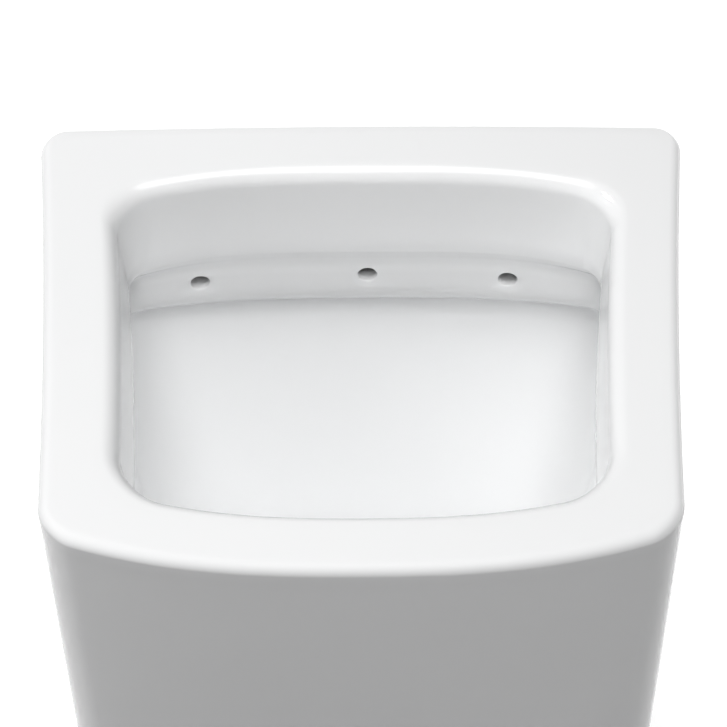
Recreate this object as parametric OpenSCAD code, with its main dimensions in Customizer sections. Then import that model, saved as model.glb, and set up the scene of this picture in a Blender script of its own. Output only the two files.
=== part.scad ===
// Floor standing urinal: one glazed ceramic casting with a flushing duct behind its bowl,
// a lift-out strainer and dip tube, a bottle trap with a push-fit outlet, and floor brackets.
// +Z is up, the wall face looks to +Y, and the front lip looks to -Y. Millimetres.

/* [Ceramic body] */
// Height of the rim above the floor, at the middle of its back
rim_height = 650; // [620:5:700]
// Width across the rim at the wall
back_width = 364; // [350:2:380]
// Width across the rim at its front corners
front_width = 335; // [326:1:344]
// Depth from the wall to the middle of the front lip
body_depth = 314; // [306:2:334]
// How far the front edge bows out past its corners
front_bow = 27; // [20:1:34]
// How far each side is drawn in between its corners
side_waist = 2.5; // [0:0.5:5]
// How far the rim falls from the middle of its back to the back corners
rim_crown = 3; // [0:0.5:6]
// Corner radius of the body at the wall
back_corner = 16; // [12:1:24]
// Corner radius of the body at the front
front_corner = 18; // [14:1:26]
// How much narrower each side is at the floor than at the rim
side_draft = 18; // [8:1:24]
// How much the front face leans back from rim to floor
front_draft = 24; // [12:1:34]
// Thickness of the ceramic walls
wall = 11; // [9:0.5:12.5]
// Rounding of the rim's outer edge
rim_round = 6; // [4:0.5:8]
// Rounding of the rim's edge where it meets the wall
back_edge = 1; // [0.5:0.5:3]
// Rounding of the foot's outer edge
foot_round = 3; // [2:0.5:5]
// Width of the service opening in the back
service_width = 210; // [180:5:230]
// Top of the service opening above the floor
service_top = 300; // [285:5:305]
// Bottom of the service opening above the floor
service_bottom = 85; // [70:5:95]

/* [Bowl] */
// Width of the flat rim beside the bowl
side_ledge = 29; // [27:0.5:33]
// Width of the flat rim at the wall
back_ledge = 28; // [27:0.5:31]
// Width of the flat rim at the front
front_ledge = 31; // [29:0.5:34]
// Rounding from the rim into the bowl
mouth_round = 10; // [7:0.5:12]
// How far that rounding reaches back from the flat rim at the front
mouth_round_front = 7; // [5:0.5:9]
// Corner radius of the mouth at the back
mouth_back_corner = 24; // [20:1:34]
// Corner radius of the mouth at the front
mouth_front_corner = 32; // [26:1:40]
// How far the mouth bows out at the back
mouth_back_bow = 16; // [10:1:18]
// How far the mouth bows out at the front
mouth_front_bow = 18; // [10:1:20]
// Depth of the drip skirt below the rim
skirt_depth = 63; // [58:1:66]
// How far the skirt draws in towards its lower edge
skirt_draft = 4.5; // [3:0.5:7]
// How far the bowl widens again under the skirt
undercut = 12; // [8:0.5:13]
// Height of the flushing band at the back, under the skirt
band_height = 38; // [36:1:42]
// Depth of the bowl floor below the rim
bowl_depth = 345; // [330:5:360]
// Radius of the flat seat round the drain
drain_seat = 48; // [45:1:54]
// Distance of the drain from the front lip
drain_from_front = 112; // [108:1:118]

/* [Flushing] */
// Diameter of each flushing hole
flush_hole = 11; // [8:0.5:12]
// Distance of the outer flushing holes from the middle one
flush_spacing = 89; // [80:1:94]
// Depth of the flushing holes below the rim
flush_depth = 79; // [76:1:84]
// Width of the water duct behind the flushing band
duct_width = 236; // [215:2:244]
// Height of the water duct
duct_height = 46; // [42:1:50]
// Diameter of the hole for the water inlet in the back
inlet_hole = 35; // [32:0.5:36]
// Diameter of the flush pipe that the inlet grommet takes
flush_pipe = 18; // [15:0.5:20]

/* [Waste] */
// Diameter of the drain hole in the ceramic
drain_hole = 52; // [51:0.5:55]
// Outside diameter of the waste thread
waste_thread = 47.8; // [46.8:0.1:48.6]
// Bore of the waste
waste_bore = 37; // [36.4:0.1:37.8]
// Diameter of the waste flange
flange_width = 78; // [72:1:84]
// Length of the threaded tail below the bowl floor
waste_tail = 62; // [60:1:66]
// Outside diameter of the dip tube
dip_tube_width = 31; // [28:0.5:32]
// Depth of water that seals the trap
water_seal = 50; // [46:1:54]
// Outside diameter of the bottle
bottle_width = 84; // [80:1:92]
// Depth of the trap's outlet below the bowl floor
outlet_drop = 92; // [90:1:96]
// Outside diameter of the outlet pipe
outlet_pipe_width = 40; // [38:0.5:41]
// Outside diameter of the house drain pipe that the socket takes
drain_pipe = 50; // [48:0.5:51]
// Length of house drain pipe that the socket takes
socket_depth = 48; // [40:1:52]
// Thickness of the moulded plastic walls
plastic_wall = 3; // [2.5:0.1:3.4]

/* [Fixing] */
// Height of the side fixing screws above the floor
fixing_height = 45; // [40:1:50]
// Distance of the side fixing screws in front of the wall
fixing_from_wall = 119; // [110:1:130]
// Diameter of the side fixing holes in the ceramic
fixing_hole = 14; // [13:0.5:16]
// Diameter of the side fixing screws
fixing_screw = 8; // [6:0.5:8]
// Diameter of the floor screw holes in the brackets
floor_hole = 9; // [7:0.5:10]
// Distance between the two floor screw holes of a bracket
floor_hole_spacing = 36; // [30:1:40]
// Length of each bracket along the floor
bracket_length = 60; // [56:1:70]
// Height of each bracket
bracket_height = 66; // [62:1:76]
// Width of each bracket's foot
bracket_foot = 42; // [38:1:50]
// Thickness of the bracket plate
bracket_plate = 4; // [3:0.5:5]

/* [Hidden] */
$fn = 64;

glaze_white = [0.94, 0.94, 0.935];
plastic_white = [0.88, 0.88, 0.86];
rubber_grey = [0.24, 0.24, 0.25];
steel_grey = [0.66, 0.67, 0.69];

// Flat faces that meet need no room. These are the gaps left where round faces meet.
thread_gap = 0.15;
slide_gap = 0.3;
// A cut runs this far past the faces that it opens.
past = 1;

wall_y = body_depth / 2;
lip_y = -body_depth / 2;
drain_y = lip_y + drain_from_front;
bowl_floor = rim_height - bowl_depth;

// ---------------------------------------------------------------- ceramic outline

// Steps along each edge of the outline (back, left, front, right), and round each corner.
edge_steps = [14, 6, 12, 6];
corner_steps = 7;
// How far a Bezier arc's handles reach, as a share of the corner radius.
arc_pull = 0.5523;
// How flat the middle of a bowed edge is. A plain arc has 2.
arc_flatness = 2;
front_flatness = 2.6;
skirt_flatness = 3.9;
band_flatness = 2.9;

function mix(a, b, t) = a + (b - a) * t;
function side_normal(a, b) = let (d = (b - a) / norm(b - a)) [d[1], -d[0]];

// A point on an edge from a to b that bows sideways by bow, and the edge's direction there.
function bowed(a, b, bow, power, t) =
    mix(a, b, t) + side_normal(a, b) * (bow * (1 - pow(abs(2 * t - 1), power)));
function heading(a, b, bow, power, t) =
    let (
        slope = 2 * power * pow(abs(2 * t - 1), power - 1) * sign(2 * t - 1),
        d = (b - a) - side_normal(a, b) * (bow * slope)
    )
    d / norm(d);
function bezier(p, t) = p[0] * pow(1 - t, 3) + p[1] * (3 * t * pow(1 - t, 2))
    + p[2] * (3 * t * t * (1 - t)) + p[3] * pow(t, 3);

// The outline of the casting at one level, anticlockwise from its back right corner.
// s = [half width at back, half width at front, y at back, y at front,
//      bow at back, bow at front, waist, corner radius at back, corner radius at front,
//      flatness of the bow at the back]
function outline(s) =
    let (
        corners = [[s[0], s[2] - s[4]], [-s[0], s[2] - s[4]],
            [-s[1], s[3] + s[5]], [s[1], s[3] + s[5]]],
        bows = [s[4], -s[6], s[5], -s[6]],
        radii = [s[7], s[7], s[8], s[8]],
        flatness = [s[9], arc_flatness, front_flatness, arc_flatness]
    )
    [for (k = [0:3])
        let (
            next = (k + 1) % 4,
            a = corners[k],
            b = corners[next],
            c = corners[(k + 2) % 4],
            t0 = radii[k] / norm(b - a),
            t1 = 1 - radii[next] / norm(b - a),
            u0 = radii[next] / norm(c - b),
            from = bowed(a, b, bows[k], flatness[k], t1),
            to = bowed(b, c, bows[next], flatness[next], u0),
            pull = radii[next] * arc_pull,
            turn = [from, from + heading(a, b, bows[k], flatness[k], t1) * pull,
                to - heading(b, c, bows[next], flatness[next], u0) * pull, to]
        )
        each concat(
            [for (i = [0:edge_steps[k] - 1])
                bowed(a, b, bows[k], flatness[k], mix(t0, t1, i / edge_steps[k]))],
            [for (i = [0:corner_steps - 1]) bezier(turn, i / corner_steps)]
        )
    ];

// How far the rim lies below its highest point at (x, y).
function crown(x, y) = rim_crown * pow(2 * x / back_width, 2) * max(y / wall_y, 0);

// A level of the casting: its outline at height z, which follows the rim's crown by the share given.
function level(z, crown_share, s) =
    [for (p = outline(s)) [p[0], p[1], z - crown_share * crown(p[0], p[1])]];

// Outside of the casting at depth u below the rim, drawn in by inset.
function outside(u, inset) =
    let (
        lean = u / rim_height,
        drawn_in = side_draft * lean + inset
    )
    [back_width / 2 - drawn_in, front_width / 2 - drawn_in,
        wall_y - inset, lip_y + front_draft * lean + inset,
        0, front_bow, side_waist,
        max(back_corner - inset, 4), max(front_corner - inset, 6), arc_flatness];

// The rim's outer edge, which is rounded less where it meets the wall.
function rim_edge(inset) =
    let (s = outside(0, inset))
    [for (i = [0:len(s) - 1]) i == 2 ? wall_y - inset * back_edge / rim_round : s[i]];

// The mouth of the bowl, drawn in by inset from the inner edge of the flat rim. Its corners tighten
// and its back gets flatter towards the lower edge of the skirt.
mouth_back_x = back_width / 2 - side_ledge - 4;
mouth_front_x = front_width / 2 - side_ledge;
skirt_inset = mouth_round + skirt_draft;
// How much the back and front corners tighten over the mouth's rounding, and then down the skirt.
round_tighten = [3, 7];
skirt_tighten = [10, 8];
// How much they ease again from the skirt's lower edge to the flushing band's.
band_ease = [8, 4];
// How much flatter the back is at the flushing band.
band_bow_loss = 5;
function mouth(inset) =
    let (
        rounding = min(inset / mouth_round, 1),
        down_skirt = max(inset - mouth_round, 0) / skirt_draft,
        front_inset = rounding * mouth_round_front + down_skirt * skirt_draft
    )
    [mouth_back_x - inset, mouth_front_x - inset,
        wall_y - back_ledge - inset, lip_y + front_ledge + front_inset,
        mouth_back_bow + 0.1 * inset, mouth_front_bow, side_waist,
        mouth_back_corner - round_tighten[0] * rounding - skirt_tighten[0] * pow(down_skirt, 2),
        mouth_front_corner - round_tighten[1] * rounding - skirt_tighten[1] * pow(down_skirt, 2),
        mix(arc_flatness, skirt_flatness, inset / skirt_inset)];

// Below the skirt the sides and front widen by out, and the back by back_out. The share low runs
// from 0 at the skirt's lower edge to 1 at the flushing band's.
function under_skirt(out, back_out, low) =
    let (m = mouth(skirt_inset))
    [m[0] + out, m[1] + out, m[2] + back_out + low, m[3] - out,
        m[4] - band_bow_loss * low, m[5], m[6],
        m[7] + band_ease[0] * low, m[8] + band_ease[1] * low, mix(m[9], band_flatness, low)];

// The bowl from under the flushing band (turn 0) to its floor (turn 90).
band_bottom = skirt_depth + band_height;
bowl_top = band_bottom + 20;
seat_corner = 0.98 * drain_seat;
function bowl(turn) =
    let (
        s = sin(turn),
        c = 1 - cos(turn),
        top = under_skirt(undercut, undercut, 1)
    )
    [mix(top[0], drain_seat, pow(c, 0.9)), mix(top[1], drain_seat, pow(c, 0.9)),
        mix(top[2], drain_y + drain_seat, mix(pow(s, 1.25), c, 0.25)),
        mix(top[3], drain_y - drain_seat, c),
        mix(top[4], 0, s), mix(top[5], 0, c), mix(top[6], 0, s),
        mix(top[7] + 10, seat_corner, s), mix(top[8], seat_corner, s),
        mix(top[9], arc_flatness, s)];
function bowl_z(turn) = rim_height - mix(bowl_top, bowl_depth, sin(turn));

// The same outline a distance g further out.
function grown(s, g) =
    [s[0] + g, s[1] + g, s[2] + g, s[3] - g, s[4], s[5], s[6], s[7] + g, s[8] + g, s[9]];

// The hollow of the pedestal ends here, under the solid rim.
solid_rim = 45;
hollow_depth = bowl_top + solid_rim;
collar_thick = 3;
collar_z = bowl_floor - wall - collar_thick;
collar_edge = 6;

body_levels = concat(
    // from the bowl floor up to the flushing band
    [for (turn = [90:-7.5:0]) level(bowl_z(turn), 0, bowl(turn))],
    [level(rim_height - band_bottom - 9, 0, under_skirt(undercut, undercut - 3, 1)),
     level(rim_height - band_bottom - 2, 0, under_skirt(undercut, 3, 1)),
     level(rim_height - band_bottom, 0.1, under_skirt(undercut, 0, 1)),
     level(rim_height - band_bottom + 2, 0.1, under_skirt(undercut, -1, 0.9)),
     level(rim_height - mix(skirt_depth, band_bottom, 0.5), 0.3, under_skirt(undercut, 0, 0.5)),
     level(rim_height - skirt_depth - 9, 0.6, under_skirt(undercut - 1, 1, 0.2))],
    // round the lower edge of the skirt and up to the mouth
    [level(rim_height - skirt_depth - 3, 0.8, under_skirt(6, 1, 0)),
     level(rim_height - skirt_depth, 0.9, under_skirt(1, 0, 0)),
     level(rim_height - skirt_depth + 3, 0.9, under_skirt(0, -0.5, 0)),
     level(rim_height - mix(mouth_round, skirt_depth, 0.5), 1, mouth(mix(mouth_round, skirt_inset, 0.5)))],
    // over the flat rim
    [for (a = [0:15:90]) level(rim_height - mouth_round * (1 - sin(a)), 1, mouth(mouth_round * cos(a)))],
    [for (a = [90:-18:0])
        level(rim_height - rim_round * (1 - sin(a)), 1, rim_edge(rim_round * (1 - cos(a))))],
    // down the outer face to the foot
    [for (u = [20, 45, 80, 130, 200]) level(rim_height - u, max(1 - u / 200, 0), outside(u, 0))],
    [for (a = [0:30:90])
        level(foot_round * (1 - sin(a)), 0, outside(rim_height, foot_round * (1 - cos(a))))],
    // up the inside of the pedestal, under the bowl, and down to the collar round the drain
    [level(0, 0, outside(rim_height, wall)),
     level(rim_height - hollow_depth, 0, outside(hollow_depth, wall))],
    [for (turn = [18:12:90])
        level(bowl_z(turn) - wall * sin(turn), 0, grown(bowl(turn), wall * cos(turn * 0.6)))],
    [level(collar_z, 0, grown(bowl(90), collar_edge))]
);

function middle(points) = [for (p = points) 1] * points / len(points);

// A skin over the levels in turn, closed at both ends by a fan of triangles round a middle point.
module loft(levels) {
    n = len(levels[0]);
    m = len(levels);
    last = (m - 1) * n;
    polyhedron(
        points = concat(
            [for (l = levels) each l],
            [middle(levels[0]), middle(levels[m - 1])]
        ),
        faces = concat(
            [for (i = [0:n - 1]) [m * n, (i + 1) % n, i]],
            [for (k = [0:m - 2]) for (i = [0:n - 1])
                let (a = k * n + i, b = k * n + (i + 1) % n)
                each [[a, b, a + n], [b, b + n, a + n]]],
            [for (i = [0:n - 1]) [m * n + 1, last + i, last + (i + 1) % n]]
        ),
        convexity = 12
    );
}

// ---------------------------------------------------------------- water duct and inlet

duct_wall = 10;
duct_front = wall_y - back_ledge - skirt_inset + duct_wall;
duct_back = wall_y - duct_wall;
duct_z = rim_height - flush_depth + duct_height / 2 - 12;
inlet_z = duct_z;
// The holes are punched by hand, so each strays a little sideways and down from its even place.
flush_stray = [-5, 2.5, -5];
flush_drop = [3.7, 1.1, 3.8];
flush_x = [for (i = [0:2]) (i - 1) * flush_spacing + flush_stray[i]];

grommet_recess = 3;
grommet_face = wall_y - 0.3;
grommet_lip = 4;
grommet_barb = 2;
grommet_flange = inlet_hole / 2 + 7;
// The sleeve inside the duct grips the flush pipe. The mouth before it is wider, to lead the pipe in.
sleeve_wall = 3.5;
sleeve_length = 15;
lead_in = 1.2;

// ---------------------------------------------------------------- side fixings

fixing_y = wall_y - fixing_from_wall;
spot_depth = 1.5;
cap_radius = 12.5;
spot_gap = 0.8;

// Distance of the casting's side face from the middle, at a depth u below the rim.
function side_x(y, u) =
    let (
        s = outside(u, 0),
        t = (s[2] - y) / (s[2] - s[3] - s[5])
    )
    mix(s[0], s[1], t) - s[6] * (1 - pow(abs(2 * t - 1), arc_flatness));
fixing_side_x = side_x(fixing_y, rim_height - fixing_height);
spot_x = fixing_side_x - spot_depth;
bracket_room = 4;
upright_x = fixing_side_x - wall - bracket_room;

// A cylinder along X from x0 to x1, at the side fixing's place on the right side.
module along_x(r, x0, x1) {
    translate([x0, fixing_y, fixing_height])
    rotate([0, 90, 0])
    cylinder(r = r, h = x1 - x0);
}

// The right side's shape and its mirror image on the left.
module both_sides() {
    children();
    mirror([1, 0, 0]) children();
}

// ---------------------------------------------------------------- ceramic body

module service_opening() {
    corner = 30;
    w = service_width / 2 - corner;
    low = service_bottom + corner;
    high = service_top - corner;
    translate([0, wall_y + past, 0])
    rotate([90, 0, 0])
    linear_extrude(height = wall + 5 + past)
    union() {
        translate([-service_width / 2, low]) square([service_width, high - low]);
        translate([-w, service_bottom]) square([2 * w, service_top - service_bottom]);
        for (x = [-w, w], z = [low, high]) translate([x, z]) circle(r = corner);
    }
}

module ceramic_body() {
    color(glaze_white)
    difference() {
        loft(body_levels);
        // drain
        translate([0, drain_y, collar_z - past])
        cylinder(d = drain_hole, h = bowl_floor - collar_z + 2 * past);
        // duct, its inlet and its three holes into the bowl
        translate([-duct_width / 2, duct_front, duct_z - duct_height / 2])
        cube([duct_width, duct_back - duct_front, duct_height]);
        translate([0, duct_back - past, inlet_z])
        rotate([-90, 0, 0])
        cylinder(d = inlet_hole, h = wall_y - duct_back + 2 * past);
        translate([0, wall_y - grommet_recess, inlet_z])
        rotate([-90, 0, 0])
        cylinder(r = grommet_flange + 0.5, h = grommet_recess + past);
        for (i = [0:2]) {
            translate([flush_x[i], duct_front + past, rim_height - flush_depth - flush_drop[i]])
            rotate([90, 0, 0])
            cylinder(d = flush_hole, h = duct_wall + mouth_back_bow + 12);
        }
        // side fixing holes, each with a flat seat for its bush and cap
        both_sides() {
            along_x(fixing_hole / 2, fixing_side_x - 2 * wall, fixing_side_x + past);
            along_x(cap_radius + spot_gap, spot_x, fixing_side_x + 2 * past);
        }
        service_opening();
    }
}

module inlet_grommet() {
    groove = wall_y - grommet_recess;
    barb_start = duct_back - grommet_barb;
    pipe = flush_pipe / 2;
    sleeve = pipe + sleeve_wall;
    color(rubber_grey)
    translate([0, 0, inlet_z])
    rotate([-90, 0, 0])
    rotate_extrude()
    polygon([
        [pipe, duct_back - sleeve_length], [sleeve, duct_back - sleeve_length],
        [sleeve, barb_start], [inlet_hole / 2 + grommet_lip - grommet_barb, barb_start],
        [inlet_hole / 2 + grommet_lip, duct_back], [inlet_hole / 2, duct_back],
        [inlet_hole / 2, groove], [grommet_flange, groove],
        [grommet_flange, grommet_face - 1], [grommet_flange - 1, grommet_face],
        [pipe + lead_in, grommet_face], [pipe + lead_in, duct_back - lead_in],
        [pipe, duct_back - 2 * lead_in]]);
}

// ---------------------------------------------------------------- waste

// Heights below are measured from the bowl floor, on the drain's axis.
module at_drain() {
    translate([0, drain_y, bowl_floor]) children();
}

gasket_thick = 2.5;
flange_thick = 4.5;
flange_top = gasket_thick + flange_thick;
thread_r = waste_thread / 2;
bore_r = waste_bore / 2;
plate_r = flange_width / 2 - 7.5;
plate_seat = flange_top - 2.5;
insert_r = thread_r - 3;
insert_seat = -8;
nut_wall = 9;

module waste_flange() {
    color(steel_grey)
    at_drain()
    rotate_extrude()
    polygon([
        [bore_r, -waste_tail], [thread_r, -waste_tail], [thread_r, gasket_thick],
        [flange_width / 2, gasket_thick], [flange_width / 2, flange_top - 1.5],
        [flange_width / 2 - 2, flange_top], [plate_r, flange_top], [plate_r, plate_seat],
        [insert_r, plate_seat], [insert_r, insert_seat], [bore_r, insert_seat]]);
}

// A plain round washer on the drain's axis.
module washer(r_out, r_in, z0, z1) {
    translate([0, 0, z0])
    difference() {
        cylinder(r = r_out, h = z1 - z0);
        translate([0, 0, -past]) cylinder(r = r_in, h = z1 - z0 + 2 * past);
    }
}

module flange_gasket() {
    color(rubber_grey)
    at_drain()
    washer(flange_width / 2 - 2, thread_r + thread_gap, 0, gasket_thick);
}

under_gasket_thick = 6;
under_gasket_nose = 5;
washer_thick = 2;
back_nut_thick = 12;
under_z = collar_z - bowl_floor;
washer_z = under_z - under_gasket_thick;
nut_z = washer_z - washer_thick;
seal_r = drain_hole / 2 + 9;

module under_gasket() {
    color(rubber_grey)
    at_drain()
    rotate_extrude()
    polygon([
        [thread_r + thread_gap, washer_z], [seal_r, washer_z], [seal_r, under_z],
        [drain_hole / 2 - slide_gap, under_z], [thread_r + 0.6, under_z + under_gasket_nose],
        [thread_r + thread_gap, under_z + under_gasket_nose]]);
}

module friction_washer() {
    color(plastic_white)
    at_drain()
    washer(seal_r + 1, thread_r + thread_gap, nut_z, washer_z);
}

// A round nut with grip lugs, on the drain's axis.
module lugged_nut(r_out, z0, z1, lugs) {
    lug = 3;
    translate([0, 0, z0])
    linear_extrude(height = z1 - z0)
    union() {
        circle(r = r_out);
        for (i = [0:lugs - 1]) {
            rotate([0, 0, 360 / lugs * (i + 0.5)])
            translate([r_out - lug, -lug])
            square(2 * lug);
        }
    }
}

module back_nut() {
    color(plastic_white)
    at_drain()
    difference() {
        lugged_nut(thread_r + nut_wall, nut_z - back_nut_thick, nut_z, 6);
        translate([0, 0, nut_z - back_nut_thick - past])
        cylinder(r = thread_r + thread_gap, h = back_nut_thick + 2 * past);
    }
}

// ---------------------------------------------------------------- strainer and dip tube

plate_thick = 2.2;
dome_height = 7;
dome_r = 15;
dome_shell = 2;
slots = 10;
slot_width = 6;
vent_width = 4;
vent_inset = 4.5;
knob_r = 5;
knob_height = 6;
ring_height = 4;
ring_wall = 2;
tube_r = dip_tube_width / 2;
tube_bore = tube_r - 2;
collar_top = plate_seat - 0.5;
collar_bore = tube_bore + 1;

module strainer_dome() {
    // radius of the ball whose cap stands dome_height over a circle of dome_r
    ball = (dome_r * dome_r + dome_height * dome_height) / (2 * dome_height);
    color(steel_grey)
    at_drain()
    translate([0, 0, plate_seat])
    difference() {
        union() {
            cylinder(r = plate_r - slide_gap, h = plate_thick);
            intersection() {
                translate([0, 0, plate_thick + dome_height - ball]) sphere(r = ball);
                cylinder(r = dome_r, h = plate_thick + dome_height);
            }
            translate([0, 0, plate_thick + dome_height - dome_shell])
            cylinder(r = knob_r, h = knob_height);
            // ring that centres the strainer in the dip tube's collar
            translate([0, 0, -ring_height])
            cylinder(r = collar_bore - slide_gap, h = ring_height + plate_thick / 2);
        }
        // hollow under the dome
        intersection() {
            translate([0, 0, plate_thick + dome_height - ball]) sphere(r = ball - dome_shell);
            cylinder(r = dome_r - dome_shell, h = plate_thick + dome_height);
        }
        translate([0, 0, -ring_height - past])
        cylinder(r = collar_bore - slide_gap - ring_wall, h = ring_height + past + plate_thick / 2);
        for (i = [0:slots - 1]) {
            rotate([0, 0, 360 / slots * (i + 0.5)])
            translate([mix(dome_r, plate_r, 0.52), 0, -past])
            cylinder(d = slot_width, h = plate_thick + 2 * past);
        }
        for (i = [0:slots / 2 - 1]) {
            rotate([0, 0, 720 / slots * i])
            translate([dome_r - vent_inset, 0, 0])
            cylinder(d = vent_width, h = plate_thick + dome_height + past);
        }
    }
}

outlet_z = -outlet_drop;
pipe_r = outlet_pipe_width / 2;
pipe_bore = pipe_r - 1.8;
invert_z = outlet_z - pipe_bore;
tube_end = invert_z - water_seal;
ring_section = 1;
ring_r = bore_r - slide_gap - ring_section;
groove_r = ring_r - ring_section;
groove_z = insert_seat - 10;
sleeve_r = bore_r - 0.5;

module dip_tube() {
    handle = 3;
    color(plastic_white)
    at_drain()
    union() {
        rotate_extrude()
        polygon([
            [tube_bore, tube_end], [tube_r, tube_end], [tube_r, groove_z - 8],
            [sleeve_r, groove_z - 6], [sleeve_r, groove_z - ring_section],
            [groove_r, groove_z - ring_section], [groove_r, groove_z + ring_section],
            [sleeve_r, groove_z + ring_section], [sleeve_r, insert_seat],
            [insert_r - slide_gap, insert_seat], [insert_r - slide_gap, collar_top],
            [collar_bore, collar_top], [collar_bore, insert_seat + 2], [tube_bore, insert_seat]]);
        // bar to lift it by
        translate([-collar_bore - 1, -handle / 2, insert_seat + 1])
        cube([2 * collar_bore + 2, handle, handle]);
    }
}

module dip_tube_ring() {
    color(rubber_grey)
    at_drain()
    translate([0, 0, groove_z])
    rotate_extrude()
    translate([ring_r, 0])
    circle(r = ring_section, $fn = 32);
}

// ---------------------------------------------------------------- trap

neck_step = -waste_tail - 1;
neck_top = neck_step + 17;
neck_bore = thread_r + slide_gap;
neck_r = neck_bore + plastic_wall + 1.5;
union_washer_thick = 3;
union_lip = 3;
union_top = neck_top + union_washer_thick + union_lip;
union_r = neck_r + thread_gap + 6;
union_height = 20;

module trap_union_nut() {
    color(plastic_white)
    at_drain()
    difference() {
        lugged_nut(union_r, union_top - union_height, union_top, 8);
        translate([0, 0, union_top - union_height - past])
        cylinder(r = neck_r + thread_gap, h = union_height - union_lip + past);
        translate([0, 0, union_top - union_lip - past])
        cylinder(r = thread_r + slide_gap, h = union_lip + 2 * past);
    }
}

module trap_union_washer() {
    color(rubber_grey)
    at_drain()
    washer(neck_r - 0.5, thread_r + thread_gap, neck_top, neck_top + union_washer_thick);
}

bottle_r = bottle_width / 2;
bottle_bore = bottle_r - plastic_wall;
shoulder_top = neck_top - union_height + union_washer_thick;
shoulder_z = shoulder_top - 14;
branch_bore = pipe_r + slide_gap;
branch_r = branch_bore + plastic_wall + 1;
branch_end = bottle_r + 31;
branch_stop = branch_end - 22;
cup_lap = 20;
cup_rise = 26;
cup_top = tube_end + cup_rise;
bottle_end = cup_top - cup_lap;
cup_seal_thick = 2;
cup_sump = 22;
cup_floor = tube_end - cup_sump;
cup_wall = plastic_wall + 1;
cup_r = bottle_r + thread_gap + cup_wall;
cup_ribs = 12;
rib_start = 6;
rib_end = 3;

// A cylinder from y0 to y1, measured from the drain's axis, at the trap's outlet.
module along_outlet(r, y0, y1) {
    translate([0, y0, outlet_z])
    rotate([-90, 0, 0])
    cylinder(r = r, h = y1 - y0);
}

module trap_body() {
    color(plastic_white)
    at_drain()
    difference() {
        union() {
            rotate_extrude()
            polygon([
                [0, bottle_end], [bottle_r, bottle_end], [bottle_r, shoulder_z],
                [neck_r, shoulder_top], [neck_r, neck_top], [0, neck_top]]);
            along_outlet(branch_r, 0, branch_end);
        }
        rotate_extrude()
        polygon([
            [0, bottle_end - past], [bottle_bore, bottle_end - past],
            [bottle_bore, shoulder_z - plastic_wall], [bore_r, shoulder_top - plastic_wall],
            [bore_r, neck_step], [neck_bore, neck_step], [neck_bore, neck_top + past],
            [0, neck_top + past]]);
        along_outlet(pipe_bore, bottle_bore - 8, branch_end);
        along_outlet(branch_bore, branch_stop, branch_end + past);
    }
}

module trap_cup() {
    rib = 2;
    color(plastic_white)
    at_drain()
    union() {
        rotate_extrude()
        polygon([
            [0, cup_floor - plastic_wall], [cup_r - cup_wall, cup_floor - plastic_wall],
            [cup_r, cup_floor - plastic_wall + cup_wall], [cup_r, cup_top],
            [bottle_r + thread_gap, cup_top], [bottle_r + thread_gap, bottle_end - cup_seal_thick],
            [bottle_bore, bottle_end - cup_seal_thick], [bottle_bore, cup_floor + plastic_wall],
            [bottle_bore - plastic_wall, cup_floor], [0, cup_floor]]);
        for (i = [0:cup_ribs - 1]) {
            rotate([0, 0, 360 / cup_ribs * i])
            translate([cup_r - rib / 2, -rib, cup_floor + rib_start])
            cube([1.5 * rib, 2 * rib, cup_top - cup_floor - rib_start - rib_end]);
        }
    }
}

module trap_cup_seal() {
    color(rubber_grey)
    at_drain()
    washer(bottle_r - 0.1, bottle_bore + 0.3, bottle_end - cup_seal_thick, bottle_end);
}

// ---------------------------------------------------------------- outlet

outlet_nut_wall = 5;
outlet_nut_cap = 6;
outlet_nut_lap = 14;
outlet_nut_r = branch_r + thread_gap + outlet_nut_wall;
outlet_nut_end = branch_end + outlet_nut_cap;
outlet_nut_start = branch_end - outlet_nut_lap;
outlet_washer_thick = 3;

// What turns about the outlet's axis is drawn upright, and laid along +Y from the drain's axis.
module lay_along_outlet() {
    at_drain()
    translate([0, 0, outlet_z])
    rotate([-90, 0, 0])
    children();
}

module outlet_nut() {
    color(plastic_white)
    lay_along_outlet()
    difference() {
        lugged_nut(outlet_nut_r, outlet_nut_start, outlet_nut_end, 8);
        translate([0, 0, outlet_nut_start - past])
        cylinder(r = branch_r + thread_gap, h = branch_end + outlet_washer_thick - outlet_nut_start + past);
        translate([0, 0, branch_end])
        cylinder(r = pipe_r + slide_gap, h = outlet_nut_end - branch_end + past);
    }
}

module outlet_cone_washer() {
    color(rubber_grey)
    lay_along_outlet()
    rotate_extrude()
    polygon([
        [pipe_r + 0.1, branch_end], [branch_r - 0.3, branch_end],
        [branch_r - 0.3, branch_end + 1], [pipe_r + 2, branch_end + outlet_washer_thick],
        [pipe_r + 0.1, branch_end + outlet_washer_thick]]);
}

socket_r = drain_pipe / 2 + slide_gap;
socket_out = socket_r + plastic_wall;
socket_mouth = wall_y - drain_y - 2;
socket_stop = socket_mouth - socket_depth;
socket_cone = 12;
// The groove for the lip seal, and the bead outside it.
lip_from_mouth = 8;
lip_width = 8;
lip_depth = 4;
bead_room = 2;
groove_end = socket_mouth - lip_from_mouth;
groove_start = groove_end - lip_width;

module outlet_pipe() {
    color(plastic_white)
    lay_along_outlet()
    rotate_extrude()
    polygon([
        [pipe_bore, branch_stop], [pipe_r, branch_stop], [pipe_r, socket_stop - socket_cone],
        [socket_out, socket_stop], [socket_out, groove_start - 2 * bead_room],
        [socket_out + lip_depth, groove_start - bead_room],
        [socket_out + lip_depth, groove_end + bead_room],
        [socket_out, groove_end + 2 * bead_room], [socket_out, socket_mouth],
        [socket_r, socket_mouth], [socket_r, groove_end], [socket_r + lip_depth, groove_end],
        [socket_r + lip_depth, groove_start], [socket_r, groove_start],
        [socket_r, socket_stop], [pipe_bore, socket_stop - bead_room]]);
}

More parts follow.
